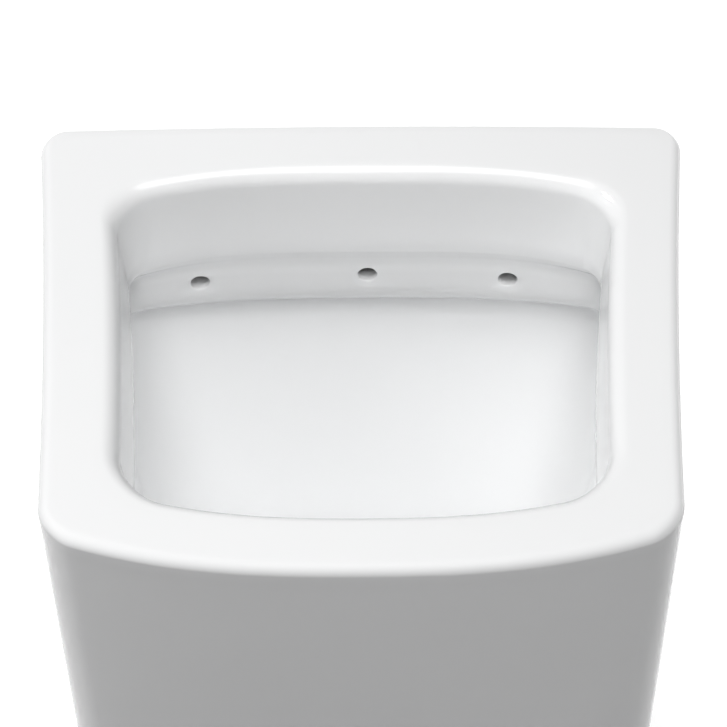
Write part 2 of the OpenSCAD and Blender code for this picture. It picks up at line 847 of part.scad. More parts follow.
module socket_lip_seal() {
    color(rubber_grey)
    lay_along_outlet()
    rotate_extrude()
    polygon([
        [socket_r + 0.1, groove_start], [socket_r + lip_depth, groove_start],
        [socket_r + lip_depth, groove_end], [socket_r + lip_depth / 2, groove_end]]);
}

// ---------------------------------------------------------------- fixings to the floor

screw_r = fixing_screw / 2;
hole_gap = 0.5;
floor_hole_x = upright_x - bracket_plate - bracket_foot / 2 + 2;

// The right bracket: a foot with two screw holes, and an upright for the side screw.
module bracket() {
    low_y = fixing_y - bracket_length / 2;
    difference() {
        union() {
            translate([upright_x - bracket_foot - bracket_plate, low_y, 0])
            cube([bracket_foot + bracket_plate, bracket_length, bracket_plate]);
            translate([upright_x - bracket_plate, low_y, 0])
            cube([bracket_plate, bracket_length, bracket_height]);
        }
        along_x(screw_r + hole_gap, upright_x - bracket_plate - past, upright_x + past);
        for (side = [-1, 1]) {
            translate([floor_hole_x, fixing_y + side * floor_hole_spacing / 2, -past])
            cylinder(d = floor_hole, h = bracket_plate + 2 * past);
        }
    }
}

module floor_bracket_right() {
    color(steel_grey) bracket();
}

module floor_bracket_left() {
    color(steel_grey) mirror([1, 0, 0]) bracket();
}

bush_flange = 2.5;
bush_flange_r = cap_radius - 1.5;
head_height = 4;
head_r = screw_r + 3;
nut_thick = 6.5;
nut_r = 0.85 * fixing_screw + 0.5;
screw_end = upright_x - bracket_plate - nut_thick - 4;

module side_bushes() {
    color(plastic_white)
    both_sides()
    difference() {
        union() {
            along_x(fixing_hole / 2 - slide_gap, upright_x, spot_x);
            along_x(bush_flange_r, spot_x, spot_x + bush_flange);
        }
        along_x(screw_r + 0.2, upright_x - past, spot_x + bush_flange + past);
    }
}

module side_screws() {
    socket = 0.58 * fixing_screw;
    color(steel_grey)
    both_sides()
    difference() {
        union() {
            along_x(screw_r, screw_end, spot_x + bush_flange);
            along_x(head_r, spot_x + bush_flange, spot_x + bush_flange + head_height);
        }
        translate([spot_x + bush_flange + head_height - 2, fixing_y, fixing_height])
        rotate([0, 90, 0])
        cylinder(r = socket, h = 3, $fn = 6);
    }
}

module bracket_nuts() {
    color(steel_grey)
    both_sides()
    difference() {
        translate([upright_x - bracket_plate - nut_thick, fixing_y, fixing_height])
        rotate([0, 90, 0])
        cylinder(r = nut_r, h = nut_thick, $fn = 6);
        along_x(screw_r + 0.05, upright_x - bracket_plate - nut_thick - past,
            upright_x - bracket_plate + past);
    }
}

cap_room = 0.5;
cap_roof = 1.2;
cap_height = bush_flange + head_height + cap_room + cap_roof;

// The right cap, seated on the flat spot round its bush.
module cover_cap() {
    edge = 1.5;
    bore = bush_flange_r + slide_gap;
    translate([spot_x, fixing_y, fixing_height])
    rotate([0, 90, 0])
    rotate_extrude()
    polygon(concat(
        [[0, cap_height - cap_roof], [bore, cap_height - cap_roof], [bore, 0], [cap_radius, 0]],
        [for (a = [0:15:90]) [cap_radius - edge * (1 - cos(a)), cap_height - edge * (1 - sin(a))]],
        [[0, cap_height]]
    ));
}

module cover_cap_right() {
    color(glaze_white) cover_cap();
}

module cover_cap_left() {
    color(glaze_white) mirror([1, 0, 0]) cover_cap();
}

// ---------------------------------------------------------------- nodes

ceramic_body();
inlet_grommet();
waste_flange();
flange_gasket();
under_gasket();
friction_washer();
back_nut();
strainer_dome();
dip_tube();
dip_tube_ring();
trap_union_nut();
trap_union_washer();
trap_body();
trap_cup();
trap_cup_seal();
outlet_nut();
outlet_cone_washer();
outlet_pipe();
socket_lip_seal();
floor_bracket_left();
floor_bracket_right();
side_bushes();
side_screws();
bracket_nuts();
cover_cap_left();
cover_cap_right();
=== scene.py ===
"""A floor standing urinal in white glazed ceramic, seen from above and in front.

The casting is drawn out ring by ring from the drain, over the rim and down to the foot, then its
holes are cut. Most of the other pieces are turned or drawn out too. The few that are left keep
their solids and only get a finish.
+Z is up, the wall is at +Y and the front lip at -Y. Metres, except where a name says MM.
"""

import math

import bmesh
import bpy
import numpy as np
from mathutils import Matrix, Vector


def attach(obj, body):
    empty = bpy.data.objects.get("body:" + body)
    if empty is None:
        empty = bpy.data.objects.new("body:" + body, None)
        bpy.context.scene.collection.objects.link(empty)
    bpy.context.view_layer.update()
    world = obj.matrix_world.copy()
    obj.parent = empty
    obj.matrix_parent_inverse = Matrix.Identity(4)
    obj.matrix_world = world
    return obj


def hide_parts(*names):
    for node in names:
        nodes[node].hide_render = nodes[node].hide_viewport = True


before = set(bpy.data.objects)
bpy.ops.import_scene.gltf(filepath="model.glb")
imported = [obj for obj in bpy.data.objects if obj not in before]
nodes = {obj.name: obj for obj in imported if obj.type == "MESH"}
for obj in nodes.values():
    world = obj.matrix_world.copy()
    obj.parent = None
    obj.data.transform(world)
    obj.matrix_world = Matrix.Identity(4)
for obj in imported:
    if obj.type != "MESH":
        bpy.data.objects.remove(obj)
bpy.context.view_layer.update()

MM = 0.001

# ---------------------------------------------------------------- sizes of the casting, in millimetres

RIM_HEIGHT = 650
BACK_WIDTH = 364
FRONT_WIDTH = 335
BODY_DEPTH = 314
FRONT_BOW = 27
SIDE_WAIST = 2.5
RIM_CROWN = 3
BACK_CORNER = 16
FRONT_CORNER = 18
SIDE_DRAFT = 18
FRONT_DRAFT = 24
WALL = 11
RIM_ROUND = 6
BACK_EDGE = 1
FOOT_ROUND = 3
SERVICE_WIDTH = 210
SERVICE_TOP = 300
SERVICE_BOTTOM = 85
SERVICE_CORNER = 30
SERVICE_ROUND = 3

SIDE_LEDGE = 29
BACK_LEDGE = 28
FRONT_LEDGE = 31
MOUTH_ROUND = 10
MOUTH_ROUND_FRONT = 7
MOUTH_SHIFT = 1.8
MOUTH_BACK_CORNER = 24
MOUTH_FRONT_CORNER = 32
MOUTH_BACK_BOW = 16
MOUTH_FRONT_BOW = 18
SKIRT_DEPTH = 63
SKIRT_DRAFT = 4.5
UNDERCUT = 12
BAND_HEIGHT = 38
BOWL_DEPTH = 345
DRAIN_SEAT = 48
DRAIN_FROM_FRONT = 112

FLUSH_HOLE = 11
FLUSH_SPACING = 89
FLUSH_DEPTH = 79
FLUSH_STRAY = (-4, 3.3, -5)
FLUSH_DROP = (3.7, 1.1, 3.8)
DUCT_WIDTH = 236
DUCT_HEIGHT = 46
DUCT_WALL = 10
INLET_HOLE = 35
INLET_RECESS = 3
INLET_FLANGE = 25
DRAIN_HOLE = 52
DRAIN_ROUND = 1.5
DRAIN_FLAT = 40

FIXING_HEIGHT = 45
FIXING_FROM_WALL = 119
FIXING_HOLE = 14
SPOT_RADIUS = 13.3
SPOT_DEPTH = 1.5

WALL_Y = BODY_DEPTH / 2
LIP_Y = -BODY_DEPTH / 2
DRAIN_Y = LIP_Y + DRAIN_FROM_FRONT
BOWL_FLOOR = RIM_HEIGHT - BOWL_DEPTH
SKIRT_INSET = MOUTH_ROUND + SKIRT_DRAFT
BAND_BOTTOM = SKIRT_DEPTH + BAND_HEIGHT
BOWL_TOP = BAND_BOTTOM + 20
HOLLOW_DEPTH = BOWL_TOP + 45
COLLAR_Z = BOWL_FLOOR - WALL - 3
COLLAR_EDGE = 6
DUCT_FRONT = WALL_Y - BACK_LEDGE - SKIRT_INSET + DUCT_WALL
DUCT_BACK = WALL_Y - DUCT_WALL
DUCT_Z = RIM_HEIGHT - FLUSH_DEPTH + DUCT_HEIGHT / 2 - 12

# Steps along each edge of an outline (back, left, front, right), and round each corner.
EDGE_STEPS = (34, 20, 36, 20)
CORNER_STEPS = 14
SIDE_POWER = 2
FRONT_POWER = 2.6
ARC_PULL = 0.5523


# ---------------------------------------------------------------- the casting's outlines


def mix(a, b, t):
    return a + (b - a) * t


def rounded_edge(radius, degrees):
    """How far a rounded edge has come out at a turn, and how far it still has to go the other way."""
    turn = math.radians(degrees)
    return radius * (1 - math.cos(turn)), radius * (1 - math.sin(turn))


def side_normal(a, b):
    along = (b - a) / np.linalg.norm(b - a)
    return np.array([along[1], -along[0]])


def bowed(a, b, bow, power, t):
    """A point on the edge from a to b, which bows sideways by bow."""
    return mix(a, b, t) + side_normal(a, b) * bow * (1 - abs(2 * t - 1) ** power)


def heading(a, b, bow, power, t):
    """The direction of a bowed edge at t."""
    slope = 2 * power * abs(2 * t - 1) ** (power - 1) * np.sign(2 * t - 1)
    along = (b - a) - side_normal(a, b) * bow * slope
    return along / np.linalg.norm(along)


def bezier(a, b, c, d, t):
    u = 1 - t
    return a * u**3 + b * 3 * t * u**2 + c * 3 * t**2 * u + d * t**3


def outline(shape):
    """The casting's outline at one level, anticlockwise from its back right corner, in millimetres.

    shape holds the half width at the back and front, y at the back and front, the bow at the back and
    front, the waist of the sides, the corner radius at the back and front, how flat the back's bow is
    in its middle, and how far the outline lies to the right.
    """
    back, front, back_y, front_y, back_bow, front_bow, waist, back_corner, front_corner, flat, right = shape
    powers = (flat, SIDE_POWER, FRONT_POWER, SIDE_POWER)
    corners = np.array(
        [
            [back, back_y - back_bow],
            [-back, back_y - back_bow],
            [-front, front_y + front_bow],
            [front, front_y + front_bow],
        ]
    )
    bows = (back_bow, -waist, front_bow, -waist)
    radii = (back_corner, back_corner, front_corner, front_corner)
    points = []
    for k in range(4):
        following = (k + 1) % 4
        a, b, c = corners[k], corners[following], corners[(k + 2) % 4]
        start = radii[k] / np.linalg.norm(b - a)
        end = 1 - radii[following] / np.linalg.norm(b - a)
        onward = radii[following] / np.linalg.norm(c - b)
        for i in range(EDGE_STEPS[k]):
            t = mix(start, end, i / EDGE_STEPS[k])
            points.append(bowed(a, b, bows[k], powers[k], t))
        leave = bowed(a, b, bows[k], powers[k], end)
        enter = bowed(b, c, bows[following], powers[following], onward)
        pull = radii[following] * ARC_PULL
        out = leave + heading(a, b, bows[k], powers[k], end) * pull
        back_in = enter - heading(b, c, bows[following], powers[following], onward) * pull
        for i in range(CORNER_STEPS):
            points.append(bezier(leave, out, back_in, enter, i / CORNER_STEPS))
    return np.array(points) + np.array([right, 0])


def crown(x, y):
    """How far the rim lies below its highest point, in millimetres."""
    return RIM_CROWN * (2 * x / BACK_WIDTH) ** 2 * np.maximum(y / WALL_Y, 0)


def level(z, crown_share, shape):
    """A ring of the casting at height z, which follows the rim's crown by the share given."""
    flat = outline(shape)
    heights = z - crown_share * crown(flat[:, 0], flat[:, 1])
    return np.column_stack([flat, heights]) * MM


def outside(depth, inset):
    """Shape of the outer face at a depth below the rim, drawn in by inset."""
    lean = depth / RIM_HEIGHT
    drawn_in = SIDE_DRAFT * lean + inset
    return np.array(
        [
            BACK_WIDTH / 2 - drawn_in,
            FRONT_WIDTH / 2 - drawn_in,
            WALL_Y - inset,
            LIP_Y + FRONT_DRAFT * lean + inset,
            0,
            FRONT_BOW,
            SIDE_WAIST,
            max(BACK_CORNER - inset, 4),
            max(FRONT_CORNER - inset, 6),
            2,
            0,
        ]
    )


def rim_edge(inset):
    """Shape of the rim's outer edge, which is rounded less where it meets the wall."""
    shape = outside(0, inset)
    shape[2] = WALL_Y - inset * BACK_EDGE / RIM_ROUND
    return shape


def mouth(inset):
    """Shape of the bowl's mouth, drawn in by inset from the inner edge of the flat rim."""
    rounded = min(inset, MOUTH_ROUND)
    down_skirt = (inset - rounded) / SKIRT_DRAFT
    front_inset = rounded * MOUTH_ROUND_FRONT / MOUTH_ROUND + inset - rounded
    return np.array(
        [
            BACK_WIDTH / 2 - SIDE_LEDGE - 4 - inset,
            FRONT_WIDTH / 2 - SIDE_LEDGE - inset,
            WALL_Y - BACK_LEDGE - inset,
            LIP_Y + FRONT_LEDGE + front_inset,
            MOUTH_BACK_BOW + 0.1 * inset,
            MOUTH_FRONT_BOW,
            SIDE_WAIST,
            MOUTH_BACK_CORNER - 0.3 * rounded - 10 * down_skirt**2,
            MOUTH_FRONT_CORNER - 0.7 * rounded - 8 * down_skirt**2,
            2 + 1.9 * inset / SKIRT_INSET,
            MOUTH_SHIFT,
        ]
    )


def widened(shape, out, back_out):
    """The same shape, wider at its sides and front by out, and at its back by back_out."""
    return shape + np.array([out, out, back_out, -out, 0, 0, 0, 0, 0, 0, 0])


def grown(shape, gap):
    """The same shape, a gap further out all round."""
    return shape + np.array([gap, gap, gap, -gap, 0, 0, 0, gap, gap, 0, 0])


def under_skirt(out, back_out, low=0):
    """Shape of the casting under the skirt. low runs from the skirt's edge (0) to the band's (1)."""
    shape = widened(mouth(SKIRT_INSET), out, back_out)
    return shape + low * np.array([0, 0, 1, 0, -5, 0, 0, 8, 4, -1, 0])


def bowl(turn):
    """Shape of the bowl from under the flushing band (0 degrees) to its floor (90 degrees)."""
    s = math.sin(math.radians(turn))
    c = 1 - math.cos(math.radians(turn))
    top = under_skirt(UNDERCUT, UNDERCUT, 1)
    seat_corner = 0.98 * DRAIN_SEAT
    return np.array(
        [
            mix(top[0], DRAIN_SEAT, c**0.9),
            mix(top[1], DRAIN_SEAT, c**0.9),
            mix(top[2], DRAIN_Y + DRAIN_SEAT, mix(s**1.4, c, 0.25)),
            mix(top[3], DRAIN_Y - DRAIN_SEAT, c),
            mix(top[4], 0, s),
            mix(top[5], 0, c),
            mix(top[6], 0, s),
            mix(top[7] + 4, seat_corner, s**2),
            mix(top[8], seat_corner, s**2),
            mix(top[9], 2, s),
            mix(top[10], 0, s),
        ]
    )


def bowl_z(turn):
    return RIM_HEIGHT - mix(BOWL_TOP, BOWL_DEPTH, math.sin(math.radians(turn)))


def eased(stations, steps):
    """A smooth run through the stations, each a row of numbers, with some steps between each two."""
    rows = [np.array(row, float) for row in stations]
    rows = [2 * rows[0] - rows[1]] + rows + [2 * rows[-1] - rows[-2]]
    run = []
    for a, b, c, d in zip(rows, rows[1:], rows[2:], rows[3:]):
        tb = np.linalg.norm(b - a) ** 0.5
        tc = tb + np.linalg.norm(c - b) ** 0.5
        td = tc + np.linalg.norm(d - c) ** 0.5
        for t in np.linspace(tb, tc, steps, endpoint=False):
            ab = mix(a, b, t / tb)
            bc = mix(b, c, (t - tb) / (tc - tb))
            cd = mix(c, d, (t - tc) / (td - tc))
            abc = mix(ab, bc, t / tc)
            bcd = mix(bc, cd, (t - tb) / (td - tb))
            run.append(mix(abc, bcd, (t - tb) / (tc - tb)))
    return run + [rows[-2]]


def round_drain(ring, radius, z):
    """The ring drawn in to a circle about the drain, at height z."""
    centre = np.array([0, DRAIN_Y]) * MM
    spokes = ring[:, :2] - centre
    spokes = spokes / np.linalg.norm(spokes, axis=1)[:, None]
    heights = np.full(len(ring), z * MM)
    return np.column_stack([centre + spokes * radius * MM, heights])


def between(ring_a, ring_b, steps):
    """Rings evenly between two rings, without the two themselves."""
    return [mix(ring_a, ring_b, i / steps) for i in range(1, steps)]


# ---------------------------------------------------------------- drawing out skins


def deselect():
    if bpy.context.object and bpy.context.object.mode != "OBJECT":
        bpy.ops.object.mode_set(mode="OBJECT")
    bpy.ops.object.select_all(action="DESELECT")


def activate(piece):
    deselect()
    bpy.context.view_layer.objects.active = piece
    piece.select_set(True)


def drawn_out(name, rings, closed_round=False, slots=None):
    """A skin drawn out from the first ring to the last, and closed at its ends or on itself.

    slots gives the material slot of the stretch that ends at each ring.
    """
    count = len(rings[0])
    deselect()
    bpy.ops.mesh.primitive_circle_add(vertices=count, radius=1, fill_type="NOTHING")
    piece = bpy.context.object
    piece.name = name
    piece.data.name = name
    bpy.ops.object.mode_set(mode="EDIT")
    mesh = bmesh.from_edit_mesh(piece.data)
    place = mesh.verts.layers.int.new("place")
    mesh.verts.ensure_lookup_table()
    for i, vertex in enumerate(mesh.verts):
        vertex[place] = i
        vertex.co = rings[0][i]
    for number, ring in enumerate(rings[1:], 1):
        bpy.ops.mesh.extrude_region_move()
        mesh = bmesh.from_edit_mesh(piece.data)
        place = mesh.verts.layers.int["place"]
        for vertex in mesh.verts:
            if vertex.select:
                vertex.co = ring[vertex[place]]
                if slots:
                    for face in vertex.link_faces:
                        face.material_index = slots[number]
    bmesh.update_edit_mesh(piece.data)
    bpy.ops.mesh.select_mode(type="EDGE")
    bpy.ops.mesh.select_all(action="DESELECT")
    bpy.ops.mesh.select_non_manifold()
    if closed_round:
        bpy.ops.mesh.bridge_edge_loops()
    else:
        bpy.ops.mesh.edge_face_add()
    bpy.ops.mesh.select_mode(type="VERT")
    bpy.ops.mesh.select_all(action="SELECT")
    bpy.ops.mesh.normals_make_consistent(inside=False)
    bpy.ops.object.mode_set(mode="OBJECT")
    return piece


def combine(piece, other, operation):
    """Works the other solid into the piece, and removes it."""
    activate(piece)
    boolean = piece.modifiers.new("combine", "BOOLEAN")
    boolean.operation = operation
    boolean.solver = "EXACT"
    boolean.object = other
    bpy.ops.object.modifier_apply(modifier=boolean.name)
    bpy.data.objects.remove(other, do_unlink=True)


def cut(piece, tool):
    """The tool's shape is taken out of the piece."""
    combine(piece, tool, "DIFFERENCE")


def join(piece, other):
    """The other solid is grown into the piece."""
    combine(piece, other, "UNION")


def mended(piece):
    """Merges the slivers that cutting leaves along an edge, and closes the small gaps beside them."""
    activate(piece)
    bpy.ops.object.mode_set(mode="EDIT")
    bpy.ops.mesh.select_all(action="SELECT")
    bpy.ops.mesh.remove_doubles(threshold=0.00001)
    bpy.ops.mesh.dissolve_degenerate(threshold=0.000005)
    bpy.ops.mesh.delete_loose()
    bpy.ops.mesh.select_mode(type="EDGE")
    bpy.ops.mesh.select_all(action="DESELECT")
    bpy.ops.mesh.select_non_manifold()
    bpy.ops.mesh.fill_holes(sides=8)
    bpy.ops.mesh.select_mode(type="VERT")
    bpy.ops.mesh.select_all(action="SELECT")
    bpy.ops.mesh.normals_make_consistent(inside=False)
    bpy.ops.object.mode_set(mode="OBJECT")


def smoothed(piece, degrees):
    activate(piece)
    bpy.ops.object.shade_smooth_by_angle(angle=math.radians(degrees))


def circle_points(radius, count, centre, u, v):
    """Points round a circle in the plane of u and v, in millimetres, given back in metres."""
    turns = np.linspace(0, 2 * math.pi, count, endpoint=False)
    centre, u, v = (np.array(part, float) for part in (centre, u, v))
    return (centre + radius * (np.cos(turns)[:, None] * u + np.sin(turns)[:, None] * v)) * MM


# ---------------------------------------------------------------- the casting

GLAZED, BARE = 0, 1


def casting_rings():
    """The casting's rings, from the drain hole over the rim to the collar, and each one's slot."""
    rings, slots = [], []

    def add(new_rings, slot=GLAZED):
        rings.extend(new_rings)
        slots.extend([slot] * len(new_rings))

    floor = level(BOWL_FLOOR, 0, bowl(90))
    for a in (0, 30, 60, 90):
        out, drop = rounded_edge(DRAIN_ROUND, a)
        add([round_drain(floor, DRAIN_HOLE / 2 + out, BOWL_FLOOR - drop)])
    add([round_drain(floor, DRAIN_FLAT, BOWL_FLOOR)])
    # from the bowl floor up to the flushing band
    add([level(bowl_z(turn), 0, bowl(turn)) for turn in np.arange(90, 0, -2.5)])
    # flushing band, the skirt's lower edge, and the skirt: depth, share of the crown, out, back out, low
    stations = [
        (BOWL_TOP, 0, UNDERCUT, UNDERCUT, 1),
        (BAND_BOTTOM + 10, 0, UNDERCUT, UNDERCUT - 1.5, 1),
        (BAND_BOTTOM + 6, 0, UNDERCUT, 7, 1),
        (BAND_BOTTOM + 3.5, 0.05, UNDERCUT, 3.6, 1),
        (BAND_BOTTOM + 1, 0.1, UNDERCUT, 1.1, 1),
        (BAND_BOTTOM - 4, 0.1, UNDERCUT, -0.6, 0.9),
        (BAND_BOTTOM - 10, 0.2, UNDERCUT, -1.1, 0.75),
        (mix(SKIRT_DEPTH, BAND_BOTTOM, 0.5), 0.3, UNDERCUT, -0.4, 0.5),
        (SKIRT_DEPTH + 9, 0.6, UNDERCUT - 2, 0.8, 0.2),
        (SKIRT_DEPTH + 4, 0.8, 7, 0.7, 0.07),
        (SKIRT_DEPTH, 0.9, 2, 0.1, 0),
        (SKIRT_DEPTH - 4, 0.9, 0, -0.5, 0),
    ]
    for depth, share, out, back_out, low in eased(stations, 5):
        add([level(RIM_HEIGHT - depth, share, under_skirt(out, back_out, low))])
    lean = math.degrees(math.atan(SKIRT_DRAFT / (SKIRT_DEPTH - MOUTH_ROUND)))
    start = math.radians(lean)
    top = (MOUTH_ROUND * (1 - math.sin(start)), MOUTH_ROUND * math.cos(start))
    for t in (0.2, 0.4, 0.6, 0.8):
        depth = mix(SKIRT_DEPTH - 4, top[0], t)
        inset = mix(SKIRT_INSET + 0.3, top[1], t)
        add([level(RIM_HEIGHT - depth, mix(0.9, 1, t), mouth(inset))])
    # over the flat rim
    for a in np.linspace(lean, 90, 18):
        turn = math.radians(a)
        depth = MOUTH_ROUND * (1 - math.sin(turn))
        add([level(RIM_HEIGHT - depth, 1, mouth(MOUTH_ROUND * math.cos(turn)))])
    inner = outline(mouth(0))
    outer = outline(rim_edge(RIM_ROUND))
    for t in (0.15, 0.3, 0.5, 0.7, 0.85):
        flat = mix(inner, outer, t)
        heights = RIM_HEIGHT - crown(flat[:, 0], flat[:, 1])
        add([np.column_stack([flat, heights]) * MM])
    for a in np.linspace(90, 0, 14):
        inset, depth = rounded_edge(RIM_ROUND, a)
        add([level(RIM_HEIGHT - depth, 1, rim_edge(inset))])
    # down the outer face to the foot
    for depth in (13, 20, 32, 45, 62, 80, 105, 130, 165, 200, 245, 290, 340, 390, 440, 490, 540, 590, 625):
        add([level(RIM_HEIGHT - depth, max(1 - depth / 200, 0), outside(depth, 0))])
    for a in np.linspace(0, 90, 6):
        inset, height = rounded_edge(FOOT_ROUND, a)
        add([level(height, 0, outside(RIM_HEIGHT, inset))], GLAZED if a < 60 else BARE)
    # up the inside of the pedestal, under the bowl, and down to the collar round the drain
    foot = level(0, 0, outside(RIM_HEIGHT, WALL))
    ceiling = level(RIM_HEIGHT - HOLLOW_DEPTH, 0, outside(HOLLOW_DEPTH, WALL))
    add([foot] + between(foot, ceiling, 12) + [ceiling], BARE)
    for turn in np.arange(18, 91, 6):
        s = math.sin(math.radians(turn))
        gap = WALL * math.cos(math.radians(turn * 0.6))
        add([level(bowl_z(turn) - WALL * s, 0, grown(bowl(turn), gap))], BARE)
    collar = level(COLLAR_Z, 0, grown(bowl(90), COLLAR_EDGE))
    add([collar, round_drain(collar, DRAIN_HOLE / 2, COLLAR_Z)], BARE)
    return rings, slots


def band_surface(x):
    """The flushing band's place behind the bowl at x, and the direction that it faces, in millimetres."""
    points = outline(under_skirt(UNDERCUT, 0, 0.4))
    back = points[: EDGE_STEPS[0]]
    order = np.argsort(back[:, 0])
    y = np.interp([x - 6, x, x + 6], back[order, 0], back[order, 1])
    facing = np.array([(y[2] - y[0]) / 12, -1, 0])
    return np.array([x, y[1], RIM_HEIGHT - FLUSH_DEPTH]), facing / np.linalg.norm(facing)


def flush_hole_tool(x, drop):
    """A round hole from the duct to the band, wider behind, with an eased edge where it meets the glaze."""
    place, facing = band_surface(x)
    place = place - np.array([0, 0, drop])
    radius = FLUSH_HOLE / 2
    flare = 0.7
    side = np.array([-facing[1], facing[0], 0])
    up = np.array([0, 0, 1])
    rings = [circle_points(radius + 3, 40, (x, DUCT_FRONT + 5, place[2]), (1, 0, 0), up)]
    rings.append(circle_points(radius + 2, 40, place - facing * 5, side, up))
    rings.append(circle_points(radius, 40, place - facing * 3.5, side, up))
    for a in np.linspace(0, 80, 6):
        out, behind = rounded_edge(flare, a)
        rings.append(circle_points(radius + out, 40, place - facing * behind, side, up))
    rings.append(circle_points(radius + out + 5, 40, place + facing, side, up))
    return drawn_out("flush_hole_tool", rings)


def box_tool(x0, x1, y0, y1, z0, z1):
    deselect()
    centre = Vector(((x0 + x1) / 2, (y0 + y1) / 2, (z0 + z1) / 2)) * MM
    bpy.ops.mesh.primitive_cube_add(size=1, location=centre)
    tool = bpy.context.object
    tool.dimensions = Vector((x1 - x0, y1 - y0, z1 - z0)) * MM
    bpy.ops.object.transform_apply(location=True, rotation=False, scale=True)
    return tool


def rounded_rectangle(half_width, low, high, corner, y, steps=8):
    """A rounded rectangle in an upright plane, anticlockwise seen from the wall."""
    points = []
    centres = (
        (half_width - corner, high - corner, 0),
        (-half_width + corner, high - corner, 90),
        (-half_width + corner, low + corner, 180),
        (half_width - corner, low + corner, 270),
    )
    for cx, cz, start in centres:
        for i in range(steps + 1):
            turn = math.radians(start + 90 * i / steps)
            points.append((cx + corner * math.cos(turn), y, cz + corner * math.sin(turn)))
    return np.array(points) * MM


def service_tool():
    """The service opening in the back, with the rounded edge that the wet clay is given."""

    def ring(out, y):
        low, high = SERVICE_BOTTOM - out, SERVICE_TOP + out
        return rounded_rectangle(SERVICE_WIDTH / 2 + out, low, high, SERVICE_CORNER + out, y)

    rings = [ring(0, WALL_Y - WALL - 5)]
    for a in np.linspace(0, 85, 6):
        out, behind = rounded_edge(SERVICE_ROUND, a)
        rings.append(ring(out, WALL_Y - behind))
    rings.append(ring(2 * SERVICE_ROUND, WALL_Y + 1))
    return drawn_out("service_tool", rings)


def side_face_x(y, depth):
    """Distance of the side face from the middle."""
    shape = outside(depth, 0)
    t = (shape[2] - y) / (shape[2] - shape[3] - shape[5])
    return mix(shape[0], shape[1], t) - shape[6] * (1 - abs(2 * t - 1) ** SIDE_POWER)


def casting():
    rings, slots = casting_rings()
    piece = drawn_out("casting", rings, closed_round=True, slots=slots)
    piece.data.materials.append(glaze_finish())
    piece.data.materials.append(bisque_finish())
    half_duct = DUCT_WIDTH / 2
    low, high = DUCT_Z - DUCT_HEIGHT / 2, DUCT_Z + DUCT_HEIGHT / 2
    cut(piece, box_tool(-half_duct, half_duct, DUCT_FRONT, DUCT_BACK, low, high))
    for i, stray in enumerate(FLUSH_STRAY):
        cut(piece, flush_hole_tool((i - 1) * FLUSH_SPACING + stray, FLUSH_DROP[i]))
    inlet = [
        (INLET_HOLE / 2, -8),
        (INLET_HOLE / 2, DUCT_WALL - INLET_RECESS),
        (INLET_FLANGE, DUCT_WALL - INLET_RECESS),
        (INLET_FLANGE, DUCT_WALL + 2),
    ]
    cut(piece, turned_solid("inlet_tool", inlet, (0, DUCT_BACK, DUCT_Z), TO_WALL))
    fixing = [
        (FIXING_HOLE / 2, -22),
        (FIXING_HOLE / 2, -SPOT_DEPTH),
        (SPOT_RADIUS, -SPOT_DEPTH),
        (SPOT_RADIUS, 4),
    ]
    for hand in (-1, 1):
        origin = (hand * FIXING_SIDE_X, FIXING_Y, FIXING_HEIGHT)
        cut(piece, turned_solid("fixing_tool", fixing, origin, (hand, 0, 0)))
    cut(piece, service_tool())
    mended(piece)
    smoothed(piece, 32)
    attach(piece, "fixed_assembly")
    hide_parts("ceramic_body")
    return piece


# ---------------------------------------------------------------- waste, trap and outlet

# Heights are measured from the bowl floor, on the drain's axis, in millimetres.
THREAD_GAP = 0.15
SLIDE_GAP = 0.3
THREAD_R = 23.9
BORE_R = 18.5
THREAD_PITCH = 2.31
WASTE_TAIL = 62
GASKET_TOP = 2.5
FLANGE_R = 39
FLANGE_TOP = 7
PLATE_R = 31.5
PLATE_SEAT = 4.5
PLATE_THICK = 2.2
INSERT_R = THREAD_R - 3
INSERT_SEAT = -8
BACK_NUT_TOP = -22
BACK_NUT_THICK = 12
DOME_R = 15
DOME_HEIGHT = 7
COLLAR_BORE = 14.5
TUBE_R = 15.5
TUBE_BORE = 13.5
TUBE_END = -160.2
RING_Z = -18
NECK_TOP = -46
NECK_STEP = -63
NECK_R = 28.7
UNION_TOP = -40
UNION_HEIGHT = 20
BOTTLE_R = 42
BOTTLE_BORE = 39
SHOULDER_Z = -77
BOTTLE_END = -154.2
CUP_TOP = -134.2
CUP_FLOOR = -182.2
CUP_R = 46.15
CUP_RIBS = 12
OUTLET_Z = -92
PIPE_R = 20
PIPE_BORE = 18.2
BRANCH_BORE = 20.3
BRANCH_R = 24.3
BRANCH_END = 73
BRANCH_STOP = 51
SOCKET_R = 25.3
SOCKET_OUT = 28.3
SOCKET_MOUTH = 200
SOCKET_STOP = 152
GROOVE_START, GROOVE_END = 184, 192
LIP_DEPTH = 4
# The small flat left on the axis of a piece that closes there.
AXIS_R = 0.4

DRAIN = (0, DRAIN_Y, BOWL_FLOOR)
OUTLET = (0, DRAIN_Y, BOWL_FLOOR + OUTLET_Z)
UP = (0, 0, 1)
TO_WALL = (0, 1, 0)


def eased_profile(points, ease, steps=4, closed=True):
    """A profile of radius and distance with its corners rounded by ease, or as far as there is room."""
    rows = []
    last = len(points) - 1
    for i, point in enumerate(points):
        here = np.array(point[:2], float)
        if not closed and i in (0, last):
            rows.append(here)
            continue
        back = np.array(points[i - 1][:2], float) - here
        onward = np.array(points[(i + 1) % len(points)][:2], float) - here
        room = 0.45 * min(np.linalg.norm(back), np.linalg.norm(onward))
        reach = min(point[2] if len(point) > 2 else ease, room)
        start = here + back / np.linalg.norm(back) * reach
        end = here + onward / np.linalg.norm(onward) * reach
        for t in np.linspace(0, 1, steps):
            rows.append(start * (1 - t) ** 2 + here * 2 * t * (1 - t) + end * t**2)
    return rows


def even_turns(count):
    return np.linspace(0, 2 * math.pi, count, endpoint=False)


